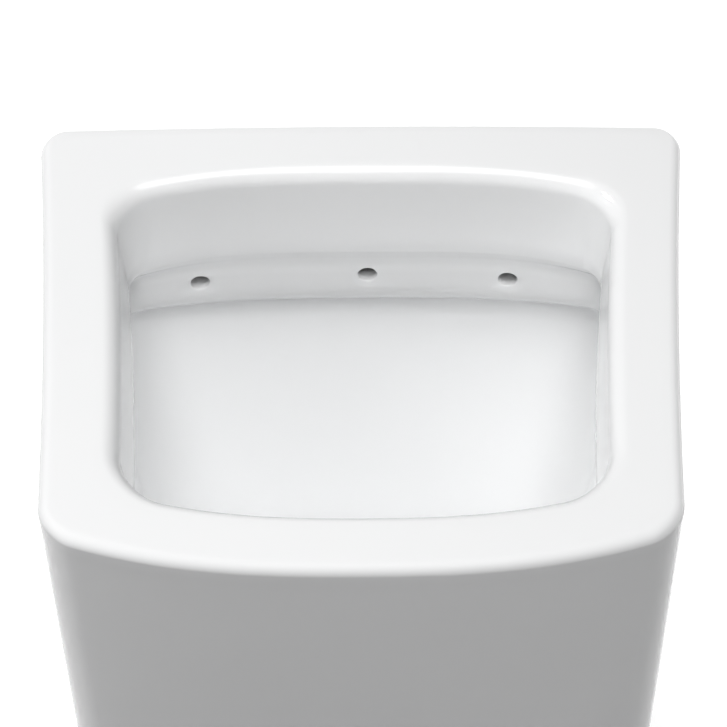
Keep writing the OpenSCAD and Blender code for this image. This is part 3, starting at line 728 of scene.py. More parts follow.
def round_about(name, rows, origin, axis, turns=None, shape=None, closed_round=True):
    """A piece turned about an axis from rows of radius and distance.

    shape gives the radius at each turn from the turns, the row's radius and its distance.
    """
    turns = even_turns(72) if turns is None else turns
    axis = np.array(axis, float)
    u = np.array([0, 0, 1.0]) if abs(axis[2]) < 0.5 else np.array([1.0, 0, 0])
    v = np.cross(axis, u)
    around = np.cos(turns)[:, None] * u + np.sin(turns)[:, None] * v
    rings = []
    for radius, distance in rows:
        radii = np.full(len(turns), float(radius)) if shape is None else shape(turns, radius, distance)
        rings.append((np.array(origin, float) + axis * distance + radii[:, None] * around) * MM)
    return drawn_out(name, rings, closed_round=closed_round)


def turned_solid(name, rows, origin, axis, count=48):
    """A solid turned about an axis, and closed at both ends."""
    return round_about(name, rows, origin, axis, even_turns(count), None, False)


def threaded_rows(radius, start, end, steps=5):
    """Rows along a thread from start to end."""
    count = int(abs(end - start) / THREAD_PITCH * steps)
    return [(radius, d) for d in np.linspace(start, end, count)]


def thread_shape(crest, low, high, depth=1.1):
    """Cuts a screw thread into the rows at the crest's radius between two heights."""

    def shape(turns, radius, distance):
        radii = np.full(len(turns), float(radius))
        if abs(radius - crest) > 0.01 or not low < distance < high:
            return radii
        fade = min(1, (distance - low) / THREAD_PITCH, (high - distance) / THREAD_PITCH)
        wave = np.abs(2 * ((distance / THREAD_PITCH + turns / (2 * math.pi)) % 1) - 1)
        return radii - depth * fade * np.clip(1.5 * wave - 0.25, 0, 1)

    return shape


def lug_turns(lugs, radius, half_width, between_lugs=8):
    """Turns round a nut, close together at the sides of its lugs, and the lugs' height at each."""
    turns, heights = [], []
    ease = 0.8
    for i in range(lugs):
        middle = 2 * math.pi * (i + 0.5) / lugs
        for offset, height in (
            (-half_width - ease, 0),
            (-half_width - ease / 3, 0.12),
            (-half_width + ease / 3, 0.88),
            (-half_width + ease, 1),
            (0, 1),
            (half_width - ease, 1),
            (half_width - ease / 3, 0.88),
            (half_width + ease / 3, 0.12),
            (half_width + ease, 0),
        ):
            turns.append(middle + offset / radius)
            heights.append(height)
        end = middle + (half_width + ease) / radius
        onward = middle + 2 * math.pi / lugs - (half_width + ease) / radius
        for k in range(1, between_lugs):
            turns.append(mix(end, onward, k / between_lugs))
            heights.append(0)
    return np.array(turns), np.array(heights)


def lugged_nut(name, profile, origin, axis, outer, lugs):
    """A moulded nut whose outer face carries grip lugs."""
    turns, heights = lug_turns(lugs, outer, 3)
    bottom, top = min(d for _, d in profile), max(d for _, d in profile)

    def shape(turned, radius, distance):
        share = min(1, max(0, (radius - (outer - 1.5)) / 1.5))
        rise = min(1, (distance - bottom + 0.4) / 1.4, (top - distance + 0.4) / 1.4)
        return radius + 3 * heights * share * rise

    return round_about(name, profile, origin, axis, turns, shape)


def holes(count, radius, hole_radius, low, high, turn=0.5):
    """Round tools in a circle about the drain's axis."""
    made = []
    for i in range(count):
        angle = 2 * math.pi / count * (i + turn)
        place = (DRAIN[0] + radius * math.cos(angle), DRAIN[1] + radius * math.sin(angle), DRAIN[2])
        rows = [(hole_radius, low), (hole_radius, high)]
        made.append(turned_solid("hole_tool", rows, place, UP, 24))
    return made


def fitted(piece, node, finish, body="fixed_assembly", degrees=32):
    """Gives a finished piece its finish, its body and the node that it stands for."""
    mended(piece)
    smoothed(piece, degrees)
    piece.data.materials.clear()
    piece.data.materials.append(finish)
    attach(piece, body)
    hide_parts(node)
    return piece


def waste():
    """Polished flange in the bowl, with its threaded tail."""
    seat = [
        (BORE_R, -WASTE_TAIL, 0.5),
        (THREAD_R, -WASTE_TAIL, 1.2),
    ]
    top = [
        (THREAD_R, GASKET_TOP, 0.2),
        (FLANGE_R, GASKET_TOP, 0.5),
        (FLANGE_R, FLANGE_TOP - 1.5, 1.5),
        (FLANGE_R - 2.5, FLANGE_TOP, 3),
        (PLATE_R, FLANGE_TOP, 0.7),
        (PLATE_R, PLATE_SEAT, 0.3),
        (INSERT_R, PLATE_SEAT, 0.6),
        (INSERT_R, INSERT_SEAT, 0.3),
        (BORE_R, INSERT_SEAT, 0.6),
    ]
    rows = eased_profile(seat + top, 0.5)
    tail_end = 8
    thread = threaded_rows(THREAD_R, -WASTE_TAIL + 1.5, GASKET_TOP - 3, 6)
    rows = rows[:tail_end] + thread + rows[tail_end:]
    shape = thread_shape(THREAD_R, -WASTE_TAIL + 1, GASKET_TOP - 2.5)
    return round_about("waste", rows, DRAIN, UP, even_turns(72), shape)


def strainer():
    """Domed stainless grating with a knob to lift it by."""
    ball = (DOME_R**2 + DOME_HEIGHT**2) / (2 * DOME_HEIGHT)
    centre = PLATE_SEAT + PLATE_THICK + DOME_HEIGHT - ball
    spread = math.asin(DOME_R / ball)
    dome = [(ball * math.sin(a), centre + ball * math.cos(a)) for a in np.linspace(spread, 0.24, 10)]
    thin = ball - 2
    inner_r = DOME_R - 2
    inner_spread = math.asin(inner_r / thin)
    under = [(thin * math.sin(a), centre + thin * math.cos(a)) for a in np.linspace(0.05, inner_spread, 10)]
    knob_top = PLATE_SEAT + PLATE_THICK + DOME_HEIGHT + 4
    outer = PLATE_R - SLIDE_GAP
    ring_r = COLLAR_BORE - SLIDE_GAP
    corners = [
        (outer, PLATE_SEAT, 0.4),
        (outer, PLATE_SEAT + PLATE_THICK, 0.9),
        (DOME_R + 1.2, PLATE_SEAT + PLATE_THICK, 1.5),
    ]
    knob = eased_profile(
        [
            (dome[-1][0], dome[-1][1]),
            (3.1, dome[-1][1] + 0.5, 1),
            (3.1, knob_top - 3.4, 0.8),
            (5, knob_top - 2.8, 0.7),
            (5, knob_top - 0.6, 0.8),
            (AXIS_R, knob_top, 0.3),
        ],
        0.5,
        closed=False,
    )
    low = [
        (inner_r, PLATE_SEAT + 0.3, 0.3),
        (ring_r - 2, PLATE_SEAT - 4, 0.4),
        (ring_r, PLATE_SEAT - 4, 0.4),
        (ring_r, PLATE_SEAT, 0.3),
    ]
    rim = eased_profile([(ring_r, PLATE_SEAT)] + corners + [dome[0]], 0.5, closed=False)
    skirt = eased_profile([under[-1]] + low, 0.3, closed=False)
    rows = [(AXIS_R, under[0][1])] + under + skirt[1:] + rim[1:] + dome[1:] + knob[1:]
    piece = turned_solid("strainer", rows, DRAIN, UP, 80)
    tools = holes(10, mix(DOME_R, PLATE_R, 0.52), 3, 0, PLATE_SEAT + PLATE_THICK + 2)
    tools += holes(5, DOME_R - 4.5, 2, PLATE_SEAT + PLATE_THICK, 30, 0)
    for tool in tools:
        cut(piece, tool)
    return piece


def dip_tube():
    """Lift-out tube of the trap, with a bar across its collar."""
    sleeve = BORE_R - 0.5
    profile = [
        (TUBE_BORE, TUBE_END, 0.7),
        (TUBE_R, TUBE_END, 0.7),
        (TUBE_R, RING_Z - 8, 2),
        (sleeve, RING_Z - 6, 1),
        (sleeve, RING_Z - 1, 0.3),
        (16.2, RING_Z - 1, 0.2),
        (16.2, RING_Z + 1, 0.2),
        (sleeve, RING_Z + 1, 0.3),
        (sleeve, INSERT_SEAT, 0.3),
        (INSERT_R - SLIDE_GAP, INSERT_SEAT, 0.5),
        (INSERT_R - SLIDE_GAP, 4, 0.8),
        (COLLAR_BORE, 4, 0.8),
        (COLLAR_BORE, INSERT_SEAT + 2, 0.8),
        (TUBE_BORE, INSERT_SEAT, 0.5),
    ]
    piece = round_about("lift_out_tube", eased_profile(profile, 0.5), DRAIN, UP)
    bar = [(1.5, -COLLAR_BORE - 1), (1.5, -9), (1.5, -4), (1.5, 4), (1.5, 9), (1.5, COLLAR_BORE + 1)]
    place = (DRAIN[0], DRAIN[1], DRAIN[2] + INSERT_SEAT + 2.5)
    join(piece, turned_solid("bar", bar, place, (1, 0, 0), 20))
    return piece


def back_nut():
    low = BACK_NUT_TOP - BACK_NUT_THICK
    outer = THREAD_R + 9
    bore = THREAD_R + THREAD_GAP
    profile = [(bore, low, 0.8), (outer, low, 1), (outer, BACK_NUT_TOP, 1), (bore, BACK_NUT_TOP, 0.8)]
    return lugged_nut("waste_back_nut", eased_profile(profile, 0.8), DRAIN, UP, outer, 6)


def union_nut():
    low = UNION_TOP - UNION_HEIGHT
    outer = NECK_R + THREAD_GAP + 6
    profile = [
        (NECK_R + THREAD_GAP, low, 0.6),
        (outer, low, 1.2),
        (outer, UNION_TOP, 1.8),
        (THREAD_R + SLIDE_GAP, UNION_TOP, 0.6),
        (THREAD_R + SLIDE_GAP, UNION_TOP - 3, 0.4),
        (NECK_R + THREAD_GAP, UNION_TOP - 3, 0.3),
    ]
    return lugged_nut("union_nut", eased_profile(profile, 0.8), DRAIN, UP, outer, 8)


def outlet_nut():
    outer = BRANCH_R + THREAD_GAP + 5
    start, end = BRANCH_END - 14, BRANCH_END + 6
    profile = [
        (BRANCH_R + THREAD_GAP, start, 0.6),
        (outer, start, 1.2),
        (outer, end, 1.8),
        (PIPE_R + SLIDE_GAP, end, 0.8),
        (PIPE_R + SLIDE_GAP, BRANCH_END + 3, 0.3),
        (BRANCH_R + THREAD_GAP, BRANCH_END + 3, 0.3),
    ]
    return lugged_nut("outlet_union", eased_profile(profile, 0.8), OUTLET, TO_WALL, outer, 8)


def trap_body():
    """Bottle of the trap with its neck above and its branch towards the wall."""
    shoulder_top = SHOULDER_Z + 14
    outside_rows = eased_profile(
        [
            (AXIS_R, BOTTLE_END),
            (BOTTLE_R, BOTTLE_END, 0.6),
            (BOTTLE_R, SHOULDER_Z, 5),
            (NECK_R, shoulder_top, 2),
            (NECK_R, NECK_TOP, 0.6),
            (AXIS_R, NECK_TOP),
        ],
        0.6,
        closed=False,
    )
    piece = turned_solid("trap_bottle", outside_rows, DRAIN, UP, 96)
    fillet = 5
    branch = [(BRANCH_R + fillet + 3, BOTTLE_R - 18), (BRANCH_R + fillet, BOTTLE_R - 6)]
    for a in np.linspace(0, 90, 6):
        along, gap = rounded_edge(fillet, a)
        branch.append((BRANCH_R + gap, BOTTLE_R - 4 + along))
    straight = [(BRANCH_R, BOTTLE_R + 4), (BRANCH_R, BRANCH_END, 0.6), (AXIS_R, BRANCH_END)]
    branch += eased_profile(straight, 0.6, closed=False)
    join(piece, turned_solid("branch", branch, OUTLET, TO_WALL, 72))
    inside = [
        (AXIS_R, BOTTLE_END - 1),
        (BOTTLE_BORE, BOTTLE_END - 1),
        (BOTTLE_BORE, SHOULDER_Z - 3, 3),
        (BORE_R, shoulder_top - 3, 1),
        (BORE_R, NECK_STEP, 0.3),
        (24.2, NECK_STEP, 0.3),
        (24.2, NECK_TOP + 1),
        (AXIS_R, NECK_TOP + 1),
    ]
    rows = eased_profile(inside, 0, closed=False)
    cut(piece, turned_solid("inside", rows, DRAIN, UP, 96))
    passage = [
        (PIPE_BORE, BOTTLE_BORE - 8),
        (PIPE_BORE, BRANCH_STOP),
        (BRANCH_BORE, BRANCH_STOP),
        (BRANCH_BORE, BRANCH_END + 1),
    ]
    cut(piece, turned_solid("passage", passage, OUTLET, TO_WALL, 72))
    return piece


def trap_cup():
    """Screw-off cup under the trap, with ribs to grip it by."""
    wall = 4
    profile = eased_profile(
        [
            (AXIS_R, CUP_FLOOR - 3),
            (CUP_R - wall - 6, CUP_FLOOR - 3, 3),
            (CUP_R, CUP_FLOOR - 3 + wall + 1, 5),
            (CUP_R, CUP_TOP, 1),
            (BOTTLE_R + THREAD_GAP, CUP_TOP, 0.6),
            (BOTTLE_R + THREAD_GAP, BOTTLE_END - 2, 0.3),
            (BOTTLE_BORE, BOTTLE_END - 2, 0.4),
            (BOTTLE_BORE, CUP_FLOOR + 3, 3),
            (BOTTLE_BORE - 3, CUP_FLOOR, 3),
            (AXIS_R, CUP_FLOOR),
        ],
        0.6,
        closed=False,
    )
    turns, heights = lug_turns(CUP_RIBS, CUP_R, 1.5, 5)
    low, high = CUP_FLOOR + 6, CUP_TOP - 3
    rib_levels = (low - 0.8, low, low + 0.8, mix(low, high, 0.5), high - 0.8, high, high + 0.8)
    rib_rows = [(CUP_R, d) for d in rib_levels]
    at = next(i for i, row in enumerate(profile) if row[1] > low and row[0] > CUP_R - 0.5)
    rows = profile[:at] + rib_rows + profile[at:]

    def shape(turned, radius, distance):
        rise = min(1, max(0, (distance - low + 0.4) / 1.2)) * min(1, max(0, (high + 0.4 - distance) / 1.2))
        return radius + 2 * heights * rise * (radius > CUP_R - 0.5)

    return round_about("trap_bottom", rows, DRAIN, UP, turns, shape, False)


def outlet_pipe():
    bead = 2
    profile = [
        (PIPE_BORE, BRANCH_STOP, 0.5),
        (PIPE_R, BRANCH_STOP, 0.8),
        (PIPE_R, SOCKET_STOP - 12, 5),
        (SOCKET_OUT, SOCKET_STOP, 5),
        (SOCKET_OUT, GROOVE_START - 2 * bead, 2),
        (SOCKET_OUT + LIP_DEPTH, GROOVE_START - bead, 1.5),
        (SOCKET_OUT + LIP_DEPTH, GROOVE_END + bead, 1.5),
        (SOCKET_OUT, GROOVE_END + 2 * bead, 1.5),
        (SOCKET_OUT, SOCKET_MOUTH, 0.8),
        (SOCKET_R, SOCKET_MOUTH, 1),
        (SOCKET_R, GROOVE_END, 0.3),
        (SOCKET_R + LIP_DEPTH, GROOVE_END, 0.3),
        (SOCKET_R + LIP_DEPTH, GROOVE_START, 0.3),
        (SOCKET_R, GROOVE_START, 0.3),
        (SOCKET_R, SOCKET_STOP, 0.6),
        (PIPE_BORE, SOCKET_STOP - bead, 1),
    ]
    return round_about("waste_pipe", eased_profile(profile, 0.5), OUTLET, TO_WALL)


def inlet_grommet():
    """Rubber sleeve that grips the flush pipe in the back of the duct."""
    pipe, sleeve = 9, 12.5
    inlet = INLET_HOLE / 2
    barb_start = DUCT_BACK - 2
    groove = WALL_Y - INLET_RECESS
    face = WALL_Y - 0.3
    lead_in = 1.2
    flange = inlet + 7
    profile = [
        (pipe, DUCT_BACK - 15, 0.6),
        (sleeve, DUCT_BACK - 15, 0.8),
        (sleeve, barb_start, 0.6),
        (inlet + 2, barb_start, 0.5),
        (inlet + 4, DUCT_BACK, 0.5),
        (inlet, DUCT_BACK, 0.2),
        (inlet, groove, 0.2),
        (flange, groove, 0.3),
        (flange, face, 1.2),
        (pipe + lead_in, face, 0.9),
        (pipe + lead_in, DUCT_BACK - lead_in, 0.5),
        (pipe, DUCT_BACK - 2 * lead_in, 0.5),
    ]
    return round_about("inlet_seal", eased_profile(profile, 0.5), (0, 0, DUCT_Z), TO_WALL)


# ---------------------------------------------------------------- fixings

FIXING_Y = WALL_Y - FIXING_FROM_WALL
FIXING_SIDE_X = side_face_x(FIXING_Y, RIM_HEIGHT - FIXING_HEIGHT)
SPOT_X = FIXING_SIDE_X - SPOT_DEPTH
UPRIGHT_X = FIXING_SIDE_X - WALL - 4
SCREW_R = 4
BUSH_FLANGE = 2.5
HEAD_HEIGHT = 4
CAP_R = 12.5
CAP_HEIGHT = 8.2
BRACKET_LENGTH = 60
BRACKET_HEIGHT = 66
BRACKET_FOOT = 42
BRACKET_PLATE = 4
FLOOR_HOLE_R = 4.5
FLOOR_HOLE_SPACING = 36


def sideways(name, rows, hand, turns=None, shape=None, closed_round=True):
    """A piece turned about a side fixing's axis. Distances run outwards from the middle."""
    origin = (0, FIXING_Y, FIXING_HEIGHT)
    return round_about(name, rows, origin, (hand, 0, 0), turns, shape, closed_round)


def cover_cap(hand, name):
    bore = CAP_R - 1.2
    rows = eased_profile(
        [
            (AXIS_R, SPOT_X + CAP_HEIGHT - 1.2),
            (bore, SPOT_X + CAP_HEIGHT - 1.2, 0.8),
            (bore, SPOT_X, 0.2),
            (CAP_R, SPOT_X, 0.3),
            (CAP_R, SPOT_X + CAP_HEIGHT - 0.5, 2.2),
            (CAP_R - 7, SPOT_X + CAP_HEIGHT, 4),
            (AXIS_R, SPOT_X + CAP_HEIGHT),
        ],
        0.4,
        6,
        closed=False,
    )
    return sideways(name, rows, hand, even_turns(80), None, False)


def side_bush(hand):
    bore = SCREW_R + 0.2
    profile = [
        (bore, UPRIGHT_X, 0.3),
        (FIXING_HOLE / 2 - SLIDE_GAP, UPRIGHT_X, 0.8),
        (FIXING_HOLE / 2 - SLIDE_GAP, SPOT_X, 0.2),
        (CAP_R - 1.5, SPOT_X, 0.3),
        (CAP_R - 1.5, SPOT_X + BUSH_FLANGE, 0.7),
        (bore, SPOT_X + BUSH_FLANGE, 0.3),
    ]
    return sideways("side_bush", eased_profile(profile, 0.4), hand, even_turns(56))


def side_screw(hand):
    """Screw with a low round head and a hexagon socket."""
    seat = SPOT_X + BUSH_FLANGE
    end = UPRIGHT_X - BRACKET_PLATE - 10.5
    rows = eased_profile(
        [
            (AXIS_R, end),
            (SCREW_R, end, 1.2),
            (SCREW_R, seat, 0.2),
            (SCREW_R + 3, seat, 0.3),
            (SCREW_R + 3, seat + HEAD_HEIGHT - 0.6, 1.4),
            (SCREW_R + 1, seat + HEAD_HEIGHT, 1),
            (AXIS_R, seat + HEAD_HEIGHT),
        ],
        0.4,
        closed=False,
    )
    thread = threaded_rows(SCREW_R, end + 1.5, end + 24, 9)
    rows = rows[:5] + thread + rows[5:]

    def shape(turns, radius, distance):
        radii = np.full(len(turns), float(radius))
        if abs(radius - SCREW_R) > 0.01 or not end + 1.4 < distance < end + 23:
            return radii
        wave = np.abs(2 * ((distance / 1.25 + turns / (2 * math.pi)) % 1) - 1)
        return radii - 0.6 * np.clip(1.4 * wave - 0.2, 0, 1)

    piece = sideways("side_screw", rows, hand, even_turns(40), shape, False)
    socket = [(4.4, seat + HEAD_HEIGHT - 2), (4.4, seat + HEAD_HEIGHT + 1)]
    cut(piece, sideways("socket_tool", socket, hand, even_turns(6), None, False))
    return piece


def bracket(hand, name):
    """Angle bracket bent from thick strip, with its holes and a rounded bend."""
    out, inner = 5.5, 1.5
    left, right = UPRIGHT_X - BRACKET_PLATE - BRACKET_FOOT, UPRIGHT_X
    corners = [
        (left, 0, 0.5),
        (right, 0, out),
        (right, BRACKET_HEIGHT, 0.5),
        (right - BRACKET_PLATE, BRACKET_HEIGHT, 0.5),
        (right - BRACKET_PLATE, BRACKET_PLATE, inner),
        (left, BRACKET_PLATE, 0.5),
    ]
    flat = np.array(eased_profile(corners, 0.5, 7))
    rings = []
    half = BRACKET_LENGTH / 2
    for along, drawn_in in ((-half, 0.5), (-half + 0.5, 0), (half - 0.5, 0), (half, 0.5)):
        ring = flat.copy()
        if drawn_in:
            ring[:, 0] = np.clip(ring[:, 0], left + drawn_in, None)
            ring[:, 1] = np.clip(ring[:, 1], None, BRACKET_HEIGHT - drawn_in)
        y = np.full(len(ring), FIXING_Y + along)
        rings.append(np.column_stack([hand * ring[:, 0], y, ring[:, 1]]) * MM)
    piece = drawn_out(name, rings)
    bore = [(SCREW_R + 0.5, right - BRACKET_PLATE - 1), (SCREW_R + 0.5, right + 1)]
    cut(piece, sideways("bore_tool", bore, hand, even_turns(32), None, False))
    foot_middle = right - BRACKET_PLATE - BRACKET_FOOT / 2 + 2
    for side in (-1, 1):
        place = (hand * foot_middle, FIXING_Y + side * FLOOR_HOLE_SPACING / 2, 0)
        rows = [(FLOOR_HOLE_R, -1), (FLOOR_HOLE_R, BRACKET_PLATE + 1)]
        cut(piece, turned_solid("floor_hole_tool", rows, place, UP, 40))
    return piece


# ---------------------------------------------------------------- finishes


class Amount:
    """A socket that carries a number, so that sums on it can be written out plainly."""

    def __init__(self, finish, socket):
        self.finish = finish
        self.socket = socket

    def sum(self, operation, first, second):
        return self.finish.node("ShaderNodeMath", {"operation": operation}, {0: first, 1: second})

    def __add__(self, other):
        return self.sum("ADD", self, other)

    def __radd__(self, other):
        return self.sum("ADD", other, self)

    def __sub__(self, other):
        return self.sum("SUBTRACT", self, other)

    def __rsub__(self, other):
        return self.sum("SUBTRACT", other, self)

    def __mul__(self, other):
        return self.sum("MULTIPLY", self, other)

    def __rmul__(self, other):
        return self.sum("MULTIPLY", other, self)

    def __truediv__(self, other):
        return self.sum("DIVIDE", self, other)

    def __pow__(self, other):
        return self.sum("POWER", self, other)


class Finish:
    """A material whose nodes are added one at a time."""

    def __init__(self, name):
        self.material = bpy.data.materials.new(name)
        self.material.use_nodes = True
        self.tree = self.material.node_tree
        self.tree.nodes.clear()

    def node(self, kind, settings=None, inputs=None, output=0):
        """Adds a node, sets it up, links what feeds it, and gives back one of its outputs."""
        node = self.tree.nodes.new(kind)
        for name, value in (settings or {}).items():
            if name == "stops":
                ramp = node.color_ramp
                for element, (position, colour) in zip(ramp.elements, value):
                    element.position, element.color = position, colour
                for position, colour in value[2:]:
                    ramp.elements.new(position).color = colour
            else:
                setattr(node, name, value)
        for key, value in (inputs or {}).items():
            if isinstance(value, Amount):
                self.tree.links.new(value.socket, node.inputs[key])
            else:
                node.inputs[key].default_value = value
        return Amount(self, node.outputs[output]) if len(node.outputs) else None

    def place(self):
        return self.node("ShaderNodeTexCoord", output="Object")

    def stretched(self, location=(0, 0, 0), rotation=(0, 0, 0), scale=(1, 1, 1)):
        inputs = {"Vector": self.place(), "Location": location, "Rotation": rotation, "Scale": scale}
        return self.node("ShaderNodeMapping", None, inputs)

    def noise(self, scale, detail=2.0, roughness=0.5, vector=None):
        inputs = {"Vector": vector or self.place(), "Scale": scale, "Detail": detail, "Roughness": roughness}
        return self.node("ShaderNodeTexNoise", None, inputs)

    def range(self, value, low, high, to_low=0.0, to_high=1.0):
        inputs = {"Value": value, "From Min": low, "From Max": high, "To Min": to_low, "To Max": to_high}
        return self.node("ShaderNodeMapRange", None, inputs)

    def blend(self, share, first, second):
        """A colour between two colours."""
        return self.node("ShaderNodeMix", {"data_type": "RGBA"}, {0: share, 6: first, 7: second}, output=2)

    def bump(self, height, distance, strength=1.0):
        inputs = {"Height": height, "Distance": distance, "Strength": strength}
        return self.node("ShaderNodeBump", None, inputs)

    def absolute(self, value):
        return self.node("ShaderNodeMath", {"operation": "ABSOLUTE"}, {0: value})

    def larger(self, first, second):
        return self.node("ShaderNodeMath", {"operation": "MAXIMUM"}, {0: first, 1: second})

    def length(self, vector):
        return self.node("ShaderNodeVectorMath", {"operation": "LENGTH"}, {0: vector}, output="Value")

    def surface(self, **sockets):
        """The finish's surface, from the shader's sockets."""
        inputs = {name.replace("_", " "): value for name, value in sockets.items()}
        shader = self.node("ShaderNodeBsdfPrincipled", None, inputs)
        self.node("ShaderNodeOutputMaterial", None, {"Surface": shader})
        return self.material


def glaze_finish():
    """White glossy glaze, slightly uneven after firing.

    Under the skirt, down past the flushing band, it is tinted grey as painted shade, where the hollow lies in
    shade.
    """
    half_across, half_along, middle_y = 0.146, 0.138, 0.01
    skirt_edge = RIM_HEIGHT - SKIRT_DEPTH
    band_edge = RIM_HEIGHT - BAND_BOTTOM
    finish = Finish("white_glaze")
    x, y, z = (finish.node("ShaderNodeSeparateXYZ", None, {"Vector": finish.place()}, axis) for axis in "XYZ")
    across = finish.absolute(x) / half_across
    along = finish.absolute(y - middle_y) / half_along
    under = finish.range(z, (skirt_edge - 3) * MM, (skirt_edge - 16) * MM)
    above = finish.range(z, (band_edge - 24) * MM, (band_edge - 5) * MM)
    # painted shade: grey in the hollow under the skirt and over the band, fading out towards the mouth's
    # edges and above and below
    painted_shade = under * above * finish.range(finish.larger(across, along), 1.03, 0.97)
    slow = finish.noise(11.0, 1.0)
    fine = finish.noise(240.0, 2.0)
    height = slow * 1.0 + fine * 0.012
    tone = finish.noise(6.0, 3.0)
    colour = finish.blend(
        finish.range(tone, 0.35, 0.65), (0.924, 0.928, 0.931, 1), (0.931, 0.934, 0.937, 1)
    )
    return finish.surface(
        # the painted shade blends the glaze towards this grey
        Base_Color=finish.blend(painted_shade, colour, (0.83, 0.833, 0.836, 1)),
        Roughness=finish.range(finish.noise(30.0, 3.0), 0.3, 0.7, 0.045, 0.085),
        IOR=1.5,
        Normal=finish.bump(height, 0.0009, 0.6),
    )


def bisque_finish():
    """Fired clay without glaze, as under the foot and inside the pedestal."""
    finish = Finish("bare_clay")
    grain = finish.noise(900.0, 4.0, 0.6)
    stain = finish.noise(14.0, 4.0, 0.6)
    colour = finish.blend(finish.range(stain, 0.3, 0.7), (0.70, 0.66, 0.59, 1), (0.78, 0.75, 0.69, 1))
    return finish.surface(
        Base_Color=colour,
        Roughness=finish.range(grain, 0.2, 0.8, 0.72, 0.92),
        Normal=finish.bump(grain + stain * 3.0, 0.0004, 0.5),
    )


def rubber_finish():
    """Moulded black rubber with a faint pale bloom."""
    finish = Finish("black_rubber")
    bloom = finish.noise(55.0, 4.0, 0.6)
    grain = finish.noise(1400.0, 2.0)
    colour = finish.blend(finish.range(bloom, 0.4, 0.75), (0.028, 0.028, 0.029, 1), (0.062, 0.062, 0.064, 1))
    return finish.surface(
        Base_Color=colour,
        Roughness=finish.range(bloom, 0.3, 0.7, 0.5, 0.72),
        Normal=finish.bump(grain, 0.0001, 0.5),
    )


def stainless_finish():
    """Stainless steel turned on a lathe and polished, with fine lines about the drain's axis."""
    finish = Finish("turned_stainless")
    centred = finish.stretched(location=(0, -DRAIN_Y * MM, 0), scale=(1, 1, 0))
    turning = {"W": finish.length(centred) * 4200.0, "Scale": 1.0, "Detail": 2.0}
    lines = finish.node("ShaderNodeTexNoise", {"noise_dimensions": "1D"}, turning)
    smudge = finish.noise(45.0, 3.0, 0.6)
    colour = finish.blend(finish.range(smudge, 0.3, 0.7), (0.60, 0.605, 0.61, 1), (0.68, 0.685, 0.69, 1))
    return finish.surface(
        Base_Color=colour,
        Metallic=1.0,
        Roughness=finish.range(smudge * 0.7 + lines * 0.3, 0.3, 0.7, 0.14, 0.27),
        Normal=finish.bump(lines, 0.00004, 0.6),
    )


def trap_plastic_finish():
    """White moulded polypropylene, satin, with faint flow marks."""
    finish = Finish("white_polypropylene")
    flow = finish.noise(18.0, 4.0, 0.6, finish.stretched(scale=(1, 1, 3)))
    skin = finish.noise(800.0, 2.0)
    colour = finish.blend(finish.range(flow, 0.3, 0.7), (0.80, 0.80, 0.775, 1), (0.845, 0.845, 0.825, 1))
    return finish.surface(
        Base_Color=colour,
        Roughness=finish.range(flow, 0.3, 0.7, 0.34, 0.46),
        Normal=finish.bump(skin + flow * 4.0, 0.0001, 0.5),
    )


def pipe_plastic_finish():
    """Pale grey waste pipe, drawn lengthwise through its die."""
    finish = Finish("grey_waste_pipe")
    drawn = finish.noise(1.0, 3.0, 0.6, finish.stretched(scale=(650, 9, 650)))
    scuff = finish.noise(35.0, 4.0, 0.65)
    colour = finish.blend(finish.range(scuff, 0.35, 0.7), (0.50, 0.51, 0.52, 1), (0.57, 0.58, 0.59, 1))
    return finish.surface(
        Base_Color=colour,
        Roughness=finish.range(drawn * 0.5 + scuff * 0.5, 0.3, 0.7, 0.32, 0.48),
        Normal=finish.bump(drawn, 0.00008, 0.6),
    )


def zinc_finish():
    """Zinc plated steel, slightly blue, with the cloudy patches of the bath."""
    finish = Finish("zinc_plated_steel")
    cloud = finish.noise(70.0, 4.0, 0.6)
    rolled = finish.noise(1.0, 2.0, 0.5, finish.stretched(scale=(1500, 60, 1500)))
    colour = finish.blend(finish.range(cloud, 0.3, 0.7), (0.50, 0.525, 0.56, 1), (0.62, 0.635, 0.65, 1))
    return finish.surface(
        Base_Color=colour,
        Metallic=1.0,
        Roughness=finish.range(cloud, 0.3, 0.7, 0.3, 0.46),
        Normal=finish.bump(rolled + cloud * 0.6, 0.00006, 0.6),
    )


def cap_plastic_finish():
    """White gloss plastic, close to the glaze beside it."""
    finish = Finish("white_gloss_plastic")
    wave = finish.noise(60.0, 2.0)
    tone = finish.noise(25.0, 3.0)
    colour = finish.blend(finish.range(tone, 0.3, 0.7), (0.86, 0.862, 0.86, 1), (0.885, 0.887, 0.884, 1))
    return finish.surface(
        Base_Color=colour,
        Roughness=finish.range(tone, 0.3, 0.7, 0.11, 0.19),
        Normal=finish.bump(wave, 0.00015, 0.5),
    )


# ---------------------------------------------------------------- camera, floor and light


def photo_camera():
    """The camera that gives the photograph's view: 50 degrees above level, from 1.9 m."""
    elevation, yaw, roll = (math.radians(a) for a in (50, 0.395, -0.628))
    distance = 1.9
    target = Vector((1.387, -19, RIM_HEIGHT)) * MM
    away = Vector(
        (math.sin(yaw) * math.cos(elevation), -math.cos(yaw) * math.cos(elevation), math.sin(elevation))
    )
    right = Vector((math.cos(yaw), math.sin(yaw), 0))
    up = away.cross(right)
    turned_right = right * math.cos(roll) + up * math.sin(roll)
    turned_up = up * math.cos(roll) - right * math.sin(roll)
    lens = bpy.data.cameras.new("photo_camera")
    lens.sensor_width = 36
    lens.lens = 176.04
    lens.clip_end = 30
    camera = bpy.data.objects.new("photo_camera", lens)
    bpy.context.scene.collection.objects.link(camera)
    turn = Matrix((turned_right, turned_up, away)).transposed().to_4x4()
    camera.matrix_world = Matrix.Translation(target + away * distance) @ turn
    bpy.context.scene.camera = camera


